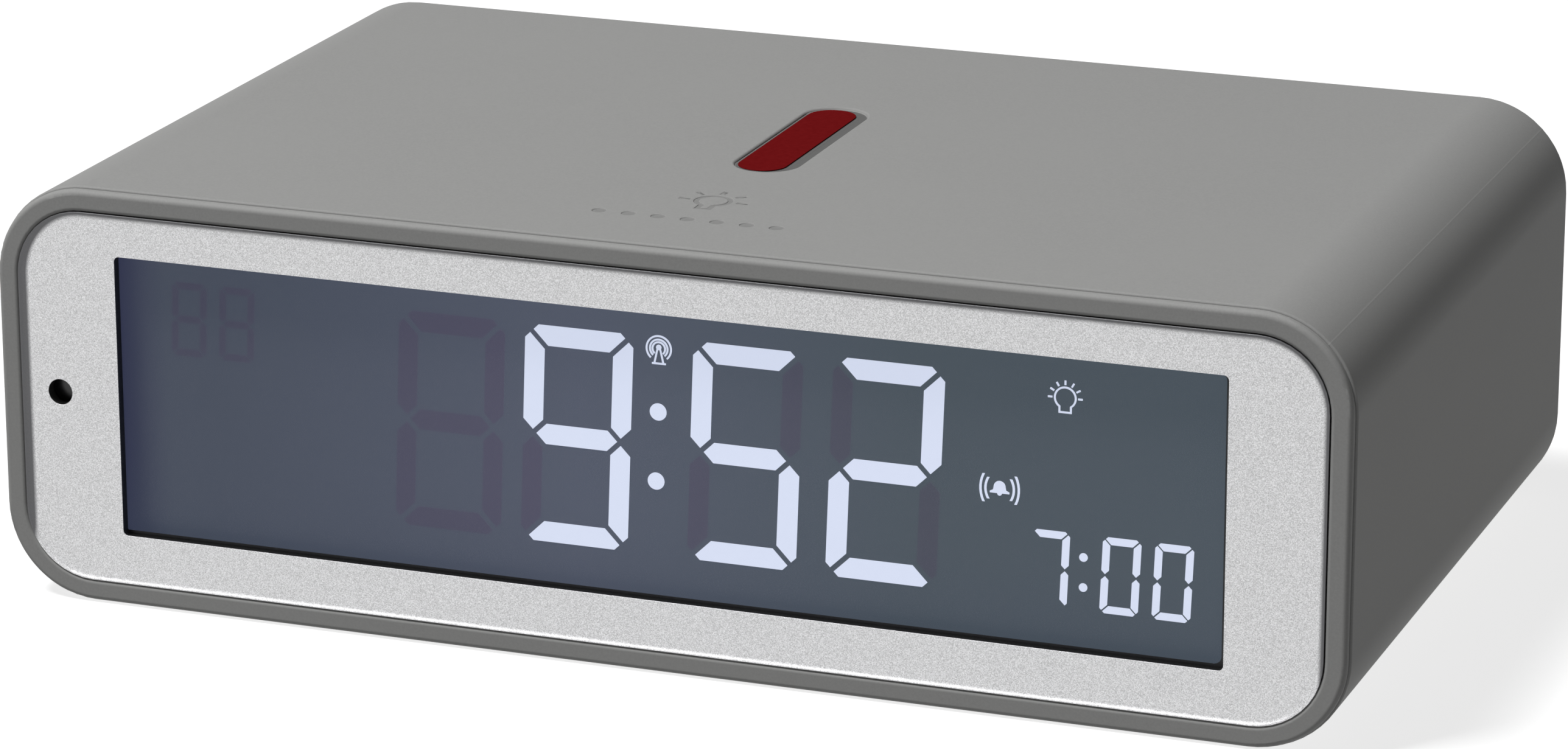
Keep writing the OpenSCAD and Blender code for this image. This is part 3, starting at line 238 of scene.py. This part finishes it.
def lacquer(name, colour, grain, rough, gloss, on_case):
    """Matt soft-touch lacquer with a fine orange-peel grain and faint clouding.

    On the case it has the mould's parting line, in relief with a painted highlight along it, and painted
    shade on the sunk floors of the top.
    """
    p = Paint(name)
    fine = p.noise(grain, 3, 0.6)
    cloud = p.noise(18 * MM, 2, 0.5, 3.1)
    base = p.mix(p.ramp(fine, 0.32, 0.68), tone(colour, 0.945), tone(colour, 1.05))
    base = p.mix(p.ramp(cloud, 0.3, 0.7, 0, 0.35), base, tone(colour, 1.04))
    height = fine
    if on_case:
        # The parting line: a raised hairline in the bump, and a painted highlight that lightens the
        # lacquer along it.
        ridge_and_highlight = parting_line(p)
        base = p.mix(p.product(ridge_and_highlight, 0.22), base, tone(colour, 1.5))
        height = p.math("ADD", fine, p.product(ridge_and_highlight, 2))
        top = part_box("sleeve")[1].z
        # Painted shade: inside the groove's outline and above its depth, the lacquer is darkened to 0.43
        # of its tone.
        near_top = p.ramp(p.axis("Z"), top - GROOVE_DEPTH - 0.1 * MM, top - GROOVE_DEPTH)
        groove = p.ramp(pill_depth(p, *GROOVE_SIZE), 0, 0.1 * MM)
        base = p.mix(p.product(groove, near_top), base, tone(colour, 0.43))
        # Painted shade: the sunk floors of the engraved marks are darkened to 0.8 of the lacquer's tone.
        base = p.mix(mark_floor_shade(p, top, near_top), base, tone(colour, 0.8))
    p.colour(base)
    p.rough(p.ramp(fine, 0.3, 0.7, rough - 0.05, rough + 0.05))
    p.set(Specular_IOR_Level=gloss)
    return p.bump(height, 0.006 * MM, 0.6).mat


def silver_lacquer():
    """Silver metallic lacquer: flakes of two sizes that differ in tone, gloss and tilt.

    It carries painted shade along the rim at the top and the sides, wider at the left, and it stops at
    the front:
    the cut walls of the opening and of the sensor's hole are black.
    """
    p = Paint("silver_metallic")
    flake = p.grey(p.cells(0.06 * MM))
    clump = p.noise(0.095 * MM, 2, 0.65)
    grain = p.math("ADD", p.product(flake, 0.5), p.product(clump, 0.5))
    lacquer_tone = p.mix(p.ramp(grain, 0.22, 0.78), (0.375, 0.375, 0.38), (0.79, 0.79, 0.80))
    low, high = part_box("bezel_plate")
    from_side = p.math("SUBTRACT", high.x - PLATE_CORNER, p.size(p.axis("X")))
    from_top = p.math("SUBTRACT", high.z - PLATE_CORNER, p.axis("Z"))
    side_past = p.math("MAXIMUM", p.product(from_side, -1), 0)
    top_past = p.math("MAXIMUM", p.product(from_top, -1), 0)
    square = p.square_sum(side_past, top_past)
    inset = p.math("SUBTRACT", PLATE_CORNER, p.math("SQRT", square, 0))
    on_left = p.math("LESS_THAN", p.axis("X"), 0)
    side_share = p.math("DIVIDE", p.product(side_past, side_past), square)
    extra = p.product(p.product(on_left, side_share), 0.45 * MM)
    # Painted shade: the lacquer darkens to near black along the rim, fading out 0.5 mm in, and further
    # in at the left.
    rim = p.ramp(p.math("SUBTRACT", inset, extra), 0.1 * MM, 0.5 * MM, 0.95, 0)
    lacquer_tone = p.mix(rim, lacquer_tone, (0.09, 0.09, 0.094))
    face, margin = low.y + PLATE_DISH, 1.5 * MM
    behind = p.ramp(p.axis("Y"), face + 0.05 * MM, face + 0.07 * MM)
    off_side = p.math("LESS_THAN", p.size(p.axis("X")), high.x - margin)
    off_top = p.math("LESS_THAN", p.axis("Z"), high.z - margin)
    off_base = p.math("GREATER_THAN", p.axis("Z"), low.z + margin)
    cut = p.product(p.product(behind, off_side), p.product(off_top, off_base))
    p.colour(p.mix(cut, lacquer_tone, (0.008, 0.008, 0.008)))
    p.rough(p.ramp(flake, 0, 1, 0.34, 0.5))
    p.link(p.ramp(cut, 0, 1, 0.8, 0), p.shader.inputs["Metallic"])
    p.set(Specular_IOR_Level=0.4)
    return p.bump(grain, 0.012 * MM, 0.5).mat


def display_film(name, tint):
    """Dark film of the display with its lamp's light leaking through: blue at the left, then greener."""
    p = Paint(name)
    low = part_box("front_polariser")[0]
    x = p.axis("X")
    colours = (0.046, 0.058, 0.086), (0.070, 0.083, 0.121), (0.055, 0.074, 0.092), (0.030, 0.034, 0.072)
    left, slate, green, blue = [tuple(c * t for c, t in zip(colour, tint)) for colour in colours]
    brightest_x = -8 * MM
    glow = p.mix(p.ramp(x, low.x + 10 * MM, brightest_x), left, slate)
    glow = p.mix(p.ramp(x, brightest_x, 24 * MM), glow, green)
    glow = p.mix(p.ramp(x, low.x, low.x + 5 * MM, 1, 0), glow, blue)
    glow = p.mix(p.ramp(p.axis("Z"), low.z, low.z + 9 * MM, 0.35, 0), glow, left)
    glow = p.mix(p.ramp(p.noise(0.12 * MM, 2), 0.3, 0.7, 0, 0.06), glow, tone(slate, 1.3))
    p.colour(p.mix(p.noise(4 * MM), (0.026, 0.027, 0.032), (0.030, 0.031, 0.036)))
    p.link(glow, p.shader.inputs["Emission Color"])
    return p.set(Emission_Strength=1.0, Roughness=0.45, Specular_IOR_Level=0.15).mat


def lit_figures():
    p = Paint("figures_lit")
    p.colour(p.mix(p.noise(1.2 * MM), (0.14, 0.15, 0.18), (0.17, 0.18, 0.21)))
    return p.set(Emission_Color=(0.70, 0.76, 0.93, 1), Emission_Strength=0.92, Roughness=0.5,
                 Specular_IOR_Level=0.1).mat


def clear_window():
    """Clear pane: see-through, with a glossy face."""
    p = Paint("window_clear")
    p.set(Base_Color=(0.02, 0.02, 0.024, 1), Alpha=0.03, Roughness=0.04, Specular_IOR_Level=0.5)
    p.mat.surface_render_method = "BLENDED"
    return p.mat


def red_strip():
    p = Paint("red_satin")
    soft = p.noise(0.5 * MM, 3, 0.6)
    p.colour(p.mix(p.ramp(soft, 0.3, 0.7), (0.128, 0.0055, 0.0065), (0.150, 0.0075, 0.0085)))
    p.set(Roughness=0.5, Specular_IOR_Level=0.0)
    return p.bump(soft, 0.01 * MM, 0.4).mat


def moulded(name, colour, grain, rough, depth):
    """Moulded plastic with a spark-eroded grain."""
    p = Paint(name)
    texture = p.noise(grain, 4, 0.65)
    p.colour(p.mix(p.ramp(texture, 0.3, 0.7), tone(colour, 0.92), tone(colour, 1.08)))
    p.rough(p.ramp(texture, 0.3, 0.7, rough - 0.08, rough + 0.08))
    p.set(Specular_IOR_Level=0.3)
    return p.bump(texture, depth, 0.8).mat


def metal(name, colour, rough, scratch):
    """Plated metal with fine tumbling marks."""
    p = Paint(name)
    marks = p.noise(scratch, 4, 0.7)
    p.colour(p.mix(p.ramp(marks, 0.3, 0.7), tone(colour, 0.88), colour))
    p.rough(p.ramp(marks, 0.3, 0.7, rough - 0.06, rough + 0.1))
    return p.set(Metallic=1.0).bump(marks, 0.004 * MM, 0.5).mat


def circuit_board():
    """Green solder mask with the copper tracks showing through as paler lines."""
    p = Paint("solder_mask")
    tracks = p.ramp(p.noise(3 * MM, 1, 0.2), 0.49, 0.51)
    p.colour(p.mix(tracks, (0.012, 0.10, 0.035), (0.03, 0.17, 0.06)))
    return p.set(Roughness=0.35).mat


GREY = (0.302, 0.302, 0.297)
SLOT_MATERIALS = {
    "soft_grey": lacquer("soft_touch_grey", GREY, 0.22 * MM, 0.62, 0.12, True),
    "ring_grey": lacquer("ring_soft_grey", GREY, 0.22 * MM, 0.6, 0.12, False),
    "silver_plate": silver_lacquer(),
    "clear_window": clear_window(),
    "red_inlay": red_strip(),
    "display_film": display_film("display_film_lit", (1, 1, 1)),
    "display_glass": moulded("dark_glass", (0.02, 0.025, 0.03), 2 * MM, 0.12, 0),
    "lit_figures": lit_figures(),
    "light_guide": moulded("acrylic", (0.75, 0.78, 0.80), 2 * MM, 0.12, 0),
    "white_plastic": moulded("white_moulded", (0.75, 0.75, 0.72), 0.5 * MM, 0.45, 0.01 * MM),
    "screw_steel": metal("zinc_steel", (0.55, 0.56, 0.58), 0.32, 0.4 * MM),
    "circuit_board": circuit_board(),
    "contact_rubber": moulded("contact_rubber", (0.42, 0.18, 0.18), 0.2 * MM, 0.6, 0.01 * MM),
    "black_plastic": moulded("black_moulded", (0.02, 0.02, 0.022), 0.3 * MM, 0.45, 0.01 * MM),
    "plated_steel": metal("nickel_steel", (0.62, 0.60, 0.57), 0.25, 0.6 * MM),
    "copper": metal("copper", (0.62, 0.28, 0.14), 0.3, 0.5 * MM),
    "cable_grey": moulded("cable_grey", (0.38, 0.38, 0.40), 1.3 * MM, 0.5, 0.02 * MM),
    "ferrite": moulded("ferrite", (0.025, 0.025, 0.028), 0.2 * MM, 0.5, 0.02 * MM),
    "rear_grey": moulded("rear_grained", (0.20, 0.20, 0.196), 0.35 * MM, 0.6, 0.025 * MM),
    "button_grey": moulded("button_satin", (0.30, 0.30, 0.295), 0.3 * MM, 0.5, 0.01 * MM),
    "lead_insulation": moulded("lead_insulation", (0.30, 0.03, 0.03), 0.4 * MM, 0.5, 0.01 * MM),
    "battery_can": metal("cell_sleeve", (0.18, 0.22, 0.28), 0.35, 0.5 * MM),
}


# Dressing of the CAD nodes: finish, and softened edges that leave the mesh itself alone

def paint_nodes():
    for part in frame["record"]["subparts"]:
        node = NODES[part["node"]]
        node.data.materials.clear()
        node.data.materials.append(SLOT_MATERIALS[part["material_slot"]])


def paint_lens():
    """The light sensor shows a dark face in its hole."""
    lens = Paint("sensor_lens")
    lens.colour(lens.mix(lens.noise(1 * MM), (0.010, 0.010, 0.011), (0.016, 0.016, 0.018)))
    node = NODES["light_sensor"]
    node.data.materials.clear()
    node.data.materials.append(lens.set(Roughness=0.22, Specular_IOR_Level=0.5).mat)


def even_normals(thing):
    """Smooth shading whose normals follow the large faces."""
    for polygon in thing.data.polygons:
        polygon.use_smooth = True
    normals = thing.modifiers.new("normals", "WEIGHTED_NORMAL")
    normals.mode = "FACE_AREA"
    normals.weight = 50
    normals.keep_sharp = False


def soften(name, width, segments=2):
    """Rounds a node's sharp edges by width with modifiers."""
    node = NODES[name]
    weld = node.modifiers.new("weld", "WELD")
    weld.merge_threshold = WELD
    flats = node.modifiers.new("flat_faces", "DECIMATE")
    flats.decimate_type = "DISSOLVE"
    flats.angle_limit = FLAT_ANGLE
    bevel = node.modifiers.new("edge_rounding", "BEVEL")
    bevel.limit_method = "ANGLE"
    bevel.angle_limit = SHARP_ANGLE
    bevel.width = width
    bevel.segments = segments
    bevel.use_clamp_overlap = False
    even_normals(node)


# Width of the softened edges in millimetres
SOFT_EDGES = {
    "rear_cover": 0.15, "battery_door": 0.2, "rear_screws": 0.06, "button_time": 0.3,
    "button_alarm": 0.3, "button_up": 0.3, "button_down": 0.3, "button_radio": 0.3,
}


# Pieces with more form than the solids

def finish_piece(mesh, name, slot, nodes, body="case"):
    """Turns a bmesh into a piece that stands for CAD nodes."""
    data = bpy.data.meshes.new(name)
    bmesh.ops.recalc_face_normals(mesh, faces=mesh.faces)
    mesh.to_mesh(data)
    mesh.free()
    piece = bpy.data.objects.new(name, data)
    bpy.context.scene.collection.objects.link(piece)
    data.materials.append(SLOT_MATERIALS[slot])
    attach(piece, body)
    if nodes:
        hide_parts(*nodes)
    return piece


def flat_copy(name):
    """A bmesh of a node's shape, with its triangles merged into flat faces."""
    mesh = bmesh.new()
    mesh.from_mesh(NODES[name].data)
    bmesh.ops.remove_doubles(mesh, verts=mesh.verts, dist=WELD)
    bmesh.ops.dissolve_limit(mesh, angle_limit=FLAT_ANGLE, verts=mesh.verts, edges=mesh.edges)
    return mesh


def round_edges(mesh, radius, segments, wanted):
    """Rounds the sharp edges whose two ends are both wanted."""
    edges = []
    for edge in mesh.edges:
        if edge.is_manifold and edge.calc_face_angle() > SHARP_ANGLE:
            if all(wanted(v.co) for v in edge.verts):
                edges.append(edge)
    bmesh.ops.bevel(mesh, geom=edges, offset=radius, offset_type="OFFSET", segments=segments,
                    profile=0.5, affect="EDGES", clamp_overlap=False)


def pill_distance(point, centre, width, length):
    """Distance from the outline of a slot-shaped form that lies along Y, less than 0 inside."""
    along = max(abs(point.y - centre[1]) - (length - width) / 2, 0)
    return math.hypot(point.x - centre[0], along) - width / 2


def make_sleeve():
    """The case with a soft lip to its groove, a low island in it and softened engravings."""
    mesh = flat_copy("sleeve")
    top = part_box("sleeve")[1].z

    def past_outline(point):
        return pill_distance(point, (0, GROOVE_Y), *GROOVE_SIZE)

    def by_marks(point):
        return point.y < MARKS_Y and abs(point.x) < MARKS_REACH

    def at_depth(point, depth):
        return abs(point.z - top + depth) < NEAR

    def on_lip(point):
        return at_depth(point, 0) and abs(past_outline(point)) < NEAR

    def on_mark(point):
        return at_depth(point, 0) and by_marks(point)

    for vert in mesh.verts:
        if past_outline(vert.co) < NEAR and at_depth(vert.co, GROOVE_DEPTH):
            vert.co.z = top - FLOOR_SHOWN
        if past_outline(vert.co) < -ISLAND_INSET and at_depth(vert.co, 0):
            vert.co.z = top - FLOOR_SHOWN + 0.01 * MM
        if by_marks(vert.co) and at_depth(vert.co, MARK_DEPTH):
            vert.co.z = top - MARK_SHOWN
    round_edges(mesh, LIP_RADIUS, 4, on_lip)
    round_edges(mesh, MARK_RADIUS, 3, on_mark)
    even_normals(finish_piece(mesh, "case_sleeve", "soft_grey", ["sleeve"]))


def make_strip():
    """The red strip: a low slab with a soft edge, which covers the island in the groove."""
    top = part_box("sleeve")[1].z
    width, length = STRIP_SIZE
    mesh = bmesh.new()
    edge = 0.03 * MM
    profile = [(0, FLOOR_SHOWN - 0.015 * MM), (0, STRIP_DEPTH + edge),
               (0.3 * edge, STRIP_DEPTH + 0.3 * edge), (edge, STRIP_DEPTH)]
    steps = 24
    loops = []
    for inset, depth in profile:
        radius = width / 2 - inset
        loop = []
        for end in (1, -1):
            for step in range(steps + 1):
                angle = math.pi * step / steps
                x = STRIP_CENTRE[0] + end * radius * math.cos(angle)
                y = STRIP_CENTRE[1] + end * ((length - width) / 2 + radius * math.sin(angle))
                loop.append(mesh.verts.new((x, y, top - depth)))
        loops.append(loop)
    for first, second in zip(loops, loops[1:]):
        wall(mesh, first, second)
    mesh.faces.new(loops[0])
    mesh.faces.new(loops[-1])
    even_normals(finish_piece(mesh, "red_strip", "red_inlay", ["red_inlay"]))


def corner_points(x_range, z_range, radius, inset=0.0, steps=10):
    """Points of a rounded rectangle, from its lower right-hand corner round to the right-hand side."""
    radius = max(radius - inset, 0.02 * MM)
    points = []
    for turn, (sx, sz) in enumerate(((1, -1), (1, 1), (-1, 1), (-1, -1))):
        cx = (x_range[1] - inset - radius) if sx > 0 else (x_range[0] + inset + radius)
        cz = (z_range[1] - inset - radius) if sz > 0 else (z_range[0] + inset + radius)
        for step in range(steps + 1):
            angle = math.pi / 2 * (turn - 1 + step / steps)
            points.append((cx + radius * math.cos(angle), cz + radius * math.sin(angle)))
    return points


def circle_points(centre_x, centre_z, radius, steps=40):
    return [(centre_x + radius * math.cos(2 * math.pi * i / steps),
             centre_z + radius * math.sin(2 * math.pi * i / steps)) for i in range(steps)]


def loop_at(mesh, points, y):
    return [mesh.verts.new((x, y, z)) for x, z in points]


def wall(mesh, first, second):
    """Quads between two loops of equally many vertices."""
    count = len(first)
    for i in range(count):
        j = (i + 1) % count
        mesh.faces.new((first[i], first[j], second[j], second[i]))


def filled(mesh, loops):
    """A flat face between an outer loop and the holes in it."""
    edges = []
    for loop in loops:
        for i, vert in enumerate(loop):
            pair = (vert, loop[(i + 1) % len(loop)])
            edges.append(mesh.edges.get(pair) or mesh.edges.new(pair))
    bmesh.ops.triangle_fill(mesh, edges=edges, use_beauty=True, use_dissolve=False)


def make_plate():
    """The silver plate: a dished face inside a raised rim, with its opening and the sensor's hole."""
    low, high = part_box("bezel_plate")
    xs = (low.x - PLATE_SNUG, high.x + PLATE_SNUG)
    zs = (low.z - PLATE_SNUG, high.z + PLATE_SNUG)
    front, back = low.y, high.y
    face = front + PLATE_DISH
    edge = 0.05 * MM
    mesh = bmesh.new()
    profile = [(0, back), (0, front + edge), (0.3 * edge, front + 0.3 * edge), (edge, front)]
    steps = 5
    for step in range(steps + 1):
        t = step / steps
        inset = 2 * edge + (PLATE_RIM - 2 * edge) * t
        profile.append((inset, front + PLATE_DISH * math.sin(t * math.pi / 2)))
    rims = [loop_at(mesh, corner_points(xs, zs, PLATE_CORNER, inset), y) for inset, y in profile]
    for first, second in zip(rims, rims[1:]):
        wall(mesh, first, second)
    fronts, backs = [rims[-1]], [rims[0]]
    chamfer = 0.02 * MM
    cuts = (lambda grow: corner_points(WINDOW_X, WINDOW_Z, WINDOW_CORNER, -grow),
            lambda grow: circle_points(SENSOR_HOLE[0], SENSOR_HOLE[1], SENSOR_HOLE[2] + grow))
    walls = ((chamfer, face), (0.3 * chamfer, face + 0.3 * chamfer), (0, face + chamfer), (0, back))
    for cut in cuts:
        rings = [loop_at(mesh, cut(grow), y) for grow, y in walls]
        for first, second in zip(rings, rings[1:]):
            wall(mesh, first, second)
        fronts.append(rings[0])
        backs.append(rings[-1])
    filled(mesh, fronts)
    filled(mesh, backs)
    even_normals(finish_piece(mesh, "silver_plate", "silver_plate", ["bezel_plate"]))


def strokes(width, height, thick, gap):
    """The seven strokes of a digit: top, right above and below, bottom, left below and above, middle."""
    w, h, k, c = width / 2, height / 2, gap / math.sqrt(2), thick * 0.66
    top = [(w - c, h), (w - (c + k) / 2, h - (c - k) / 2), (w - thick - k, h - thick),
           (thick + k - w, h - thick), ((c + k) / 2 - w, h - (c - k) / 2), (c - w, h)]
    side = [(w - (c - k) / 2, h - (c + k) / 2), (w, h - c), (w, thick / 2 + k), (w - thick / 2, k),
            (w - thick, thick / 2 + k), (w - thick, h - thick - k)]
    middle = [(w - thick / 2 - k, 0), (w - thick - k, thick / 2), (thick + k - w, thick / 2),
              (thick / 2 + k - w, 0), (thick + k - w, -thick / 2), (w - thick - k, -thick / 2)]
    turns = [(top, 1, 1), (side, 1, 1), (side, 1, -1), (top, 1, -1),
             (side, -1, -1), (side, -1, 1), (middle, 1, 1)]
    return [[(sx * x + LEAN * sz * z, sz * z) for x, z in shape] for shape, sx, sz in turns]


# Digits of the display: width, height, stroke and gap; then the centre and the unlit strokes of each
BIG = (10.65 * MM, 20.9 * MM, 1.95 * MM, 0.5 * MM)
SMALL = (3.6 * MM, 7.2 * MM, 0.7 * MM, 0.14 * MM)
LEAN = 0.039
DIGIT_Z = 21.1 * MM
SMALL_Z = 28.3 * MM
ALL_STROKES = range(7)
UNLIT = [
    (-20.85 * MM, DIGIT_Z, BIG, ALL_STROKES),
    (-8.2 * MM, DIGIT_Z, BIG, (4,)),
    (8.3 * MM, DIGIT_Z, BIG, (1, 4)),
    (21.8 * MM, DIGIT_Z, BIG, (2, 5)),
    (-47.3 * MM, SMALL_Z, SMALL, ALL_STROKES),
    (-42.4 * MM, SMALL_Z, SMALL, ALL_STROKES),
]


def make_unlit_segments():
    """Faint strokes of the digits that show no figure now."""
    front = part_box("front_polariser")[0].y - 0.006 * MM
    thickness = 0.002 * MM
    mesh = bmesh.new()
    for x, z, size, unlit in UNLIT:
        shapes = strokes(*size)
        for number in unlit:
            outline = [(x + dx, z + dz) for dx, dz in shapes[number]]
            loops = [loop_at(mesh, outline, front + back) for back in (0, thickness)]
            wall(mesh, loops[0], loops[1])
            for loop in loops:
                mesh.faces.new(loop)
    piece = finish_piece(mesh, "unlit_segments", "display_film", [])
    piece.data.materials.clear()
    piece.data.materials.append(display_film("figures_unlit", (0.96, 0.78, 0.90)))


def make_pane():
    """The clear window: a flange behind the plate, a raised field in the opening and a black border."""
    low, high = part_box("display_window")
    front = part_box("bezel_plate")[0].y + PLATE_DISH + 0.5 * MM
    xs = (WINDOW_X[0] + 0.1 * MM, WINDOW_X[1] - 0.45 * MM)
    zs = (WINDOW_Z[0] + 0.3 * MM, WINDOW_Z[1] - 0.1 * MM)
    bevel, field_corner, flange_corner = 0.08 * MM, 0.7 * MM, 0.3 * MM
    mesh = bmesh.new()
    profile = [(bevel, front), (0, front + bevel), (0, low.y)]
    field = [loop_at(mesh, corner_points(xs, zs, field_corner, inset), y) for inset, y in profile]
    flange = [loop_at(mesh, corner_points((low.x, high.x), (low.z, high.z), flange_corner), y)
              for y in (low.y, high.y)]
    for first, second in ((field[0], field[1]), (field[1], field[2]), (field[2], flange[0]),
                          (flange[0], flange[1])):
        wall(mesh, first, second)
    mesh.faces.new(field[0])
    mesh.faces.new(flange[1])
    finish_piece(mesh, "window_pane", "clear_window", ["display_window"])

    border = bmesh.new()
    depth = 0.02 * MM
    y = low.y - 2 * depth
    inner_xs = (WINDOW_X[0] - 0.7 * MM, xs[1])
    inner_points = corner_points(inner_xs, zs, field_corner, -depth)
    outer_points = corner_points((low.x, high.x), (low.z, high.z), flange_corner, 0.1 * MM)
    inner = [loop_at(border, inner_points, y + d) for d in (0, depth)]
    outer = [loop_at(border, outer_points, y + d) for d in (0, depth)]
    wall(border, inner[0], outer[0])
    wall(border, inner[1], outer[1])
    wall(border, inner[0], inner[1])
    wall(border, outer[0], outer[1])
    finish_piece(border, "window_border", "black_plastic", [])


# Camera, floor, lamps

def make_camera():
    data = bpy.data.cameras.new("camera")
    data.sensor_width = 36
    data.lens = 138.13
    data.clip_start = 0.01
    camera = bpy.data.objects.new("camera", data)
    bpy.context.scene.collection.objects.link(camera)
    right = Vector((0.93642, 0.35087, -0.00161)).normalized()
    up = Vector((-0.10256, 0.27811, 0.95506)).normalized()
    back = right.cross(up)
    axes = Matrix((right, up, back)).transposed().to_4x4()
    camera.matrix_world = Matrix.Translation((0.19416, -0.52218, 0.19013)) @ axes
    bpy.context.scene.camera = camera


def light_path(tree, *kinds):
    """An output that is 1 for the named kinds of ray, else 0."""
    path = tree.nodes.new("ShaderNodeLightPath")
    total = None
    for kind in kinds:
        output = path.outputs[kind]
        if total is None:
            total = output
            continue
        add = tree.nodes.new("ShaderNodeMath")
        add.operation = "MAXIMUM"
        tree.links.new(total, add.inputs[0])
        tree.links.new(output, add.inputs[1])
        total = add.outputs[0]
    return total


def make_floor():
    """A pale light table: nearly white where it is seen, and a soft even glow for matt surfaces."""
    bpy.ops.mesh.primitive_plane_add(size=8)
    floor = bpy.context.object
    floor.name = "floor"
    mat = bpy.data.materials.new("floor_paper")
    mat.use_nodes = True
    tree = mat.node_tree
    seen = tree.nodes["Principled BSDF"]
    seen.inputs["Base Color"].default_value = (0.4, 0.4, 0.4, 1)
    seen.inputs["Roughness"].default_value = 0.9
    seen.inputs["Specular IOR Level"].default_value = 0.0
    seen.inputs["Emission Color"].default_value = (1, 1, 1, 1)
    seen.inputs["Emission Strength"].default_value = 0.78
    unseen = tree.nodes.new("ShaderNodeEmission")
    unseen.inputs["Strength"].default_value = 0.37
    mixed = tree.nodes.new("ShaderNodeMixShader")
    tree.links.new(light_path(tree, "Is Camera Ray", "Is Glossy Ray", "Is Transmission Ray"),
                   mixed.inputs[0])
    tree.links.new(unseen.outputs[0], mixed.inputs[1])
    tree.links.new(seen.outputs[0], mixed.inputs[2])
    tree.links.new(mixed.outputs[0], tree.nodes["Material Output"].inputs["Surface"])
    floor.data.materials.append(mat)


def make_world(strength):
    """A dim room for matt surfaces. It is white to the camera, and in front of glossy ones."""
    world = bpy.data.worlds.new("studio")
    bpy.context.scene.world = world
    world.use_nodes = True
    tree = world.node_tree
    light = tree.nodes["Background"]
    light.inputs["Color"].default_value = (1, 1, 1, 1)
    light.inputs["Strength"].default_value = strength
    white = tree.nodes.new("ShaderNodeBackground")
    white.inputs["Color"].default_value = (1, 1, 1, 1)
    direction = tree.nodes.new("ShaderNodeTexCoord")
    split = tree.nodes.new("ShaderNodeSeparateXYZ")
    tree.links.new(direction.outputs["Generated"], split.inputs["Vector"])
    fade = tree.nodes.new("ShaderNodeMapRange")
    tree.links.new(split.outputs["Y"], fade.inputs["Value"])
    limits = {"From Min": -0.4, "From Max": 0.5, "To Min": 1.0, "To Max": 0.12}
    for key, number in limits.items():
        fade.inputs[key].default_value = number
    mirrored = tree.nodes.new("ShaderNodeBackground")
    mirrored.inputs["Color"].default_value = (1, 1, 1, 1)
    tree.links.new(fade.outputs["Result"], mirrored.inputs["Strength"])
    glossy = tree.nodes.new("ShaderNodeMixShader")
    tree.links.new(light_path(tree, "Is Glossy Ray"), glossy.inputs[0])
    tree.links.new(light.outputs[0], glossy.inputs[1])
    tree.links.new(mirrored.outputs[0], glossy.inputs[2])
    mixed = tree.nodes.new("ShaderNodeMixShader")
    tree.links.new(light_path(tree, "Is Camera Ray", "Is Transmission Ray"), mixed.inputs[0])
    tree.links.new(glossy.outputs[0], mixed.inputs[1])
    tree.links.new(white.outputs[0], mixed.inputs[2])
    tree.links.new(mixed.outputs[0], tree.nodes["World Output"].inputs["Surface"])


def area_lamp(name, place, size, power):
    """A square soft box that faces the clock."""
    data = bpy.data.lights.new(name, "AREA")
    data.shape = "SQUARE"
    data.size = size
    data.energy = power
    lamp = bpy.data.objects.new(name, data)
    lamp.location = place
    lamp.rotation_euler = (-Vector(place)).to_track_quat("-Z", "Y").to_euler()
    bpy.context.scene.collection.objects.link(lamp)


bpy.context.scene.view_settings.view_transform = "Standard"
make_camera()
make_floor()
make_world(0.04)
area_lamp("soft_box", (-0.5, -0.50, 1.45), 0.4, 27.5)
paint_nodes()
paint_lens()
for node_name, edge in SOFT_EDGES.items():
    soften(node_name, edge * MM)
make_sleeve()
make_strip()
make_plate()
make_pane()
make_unlit_segments()
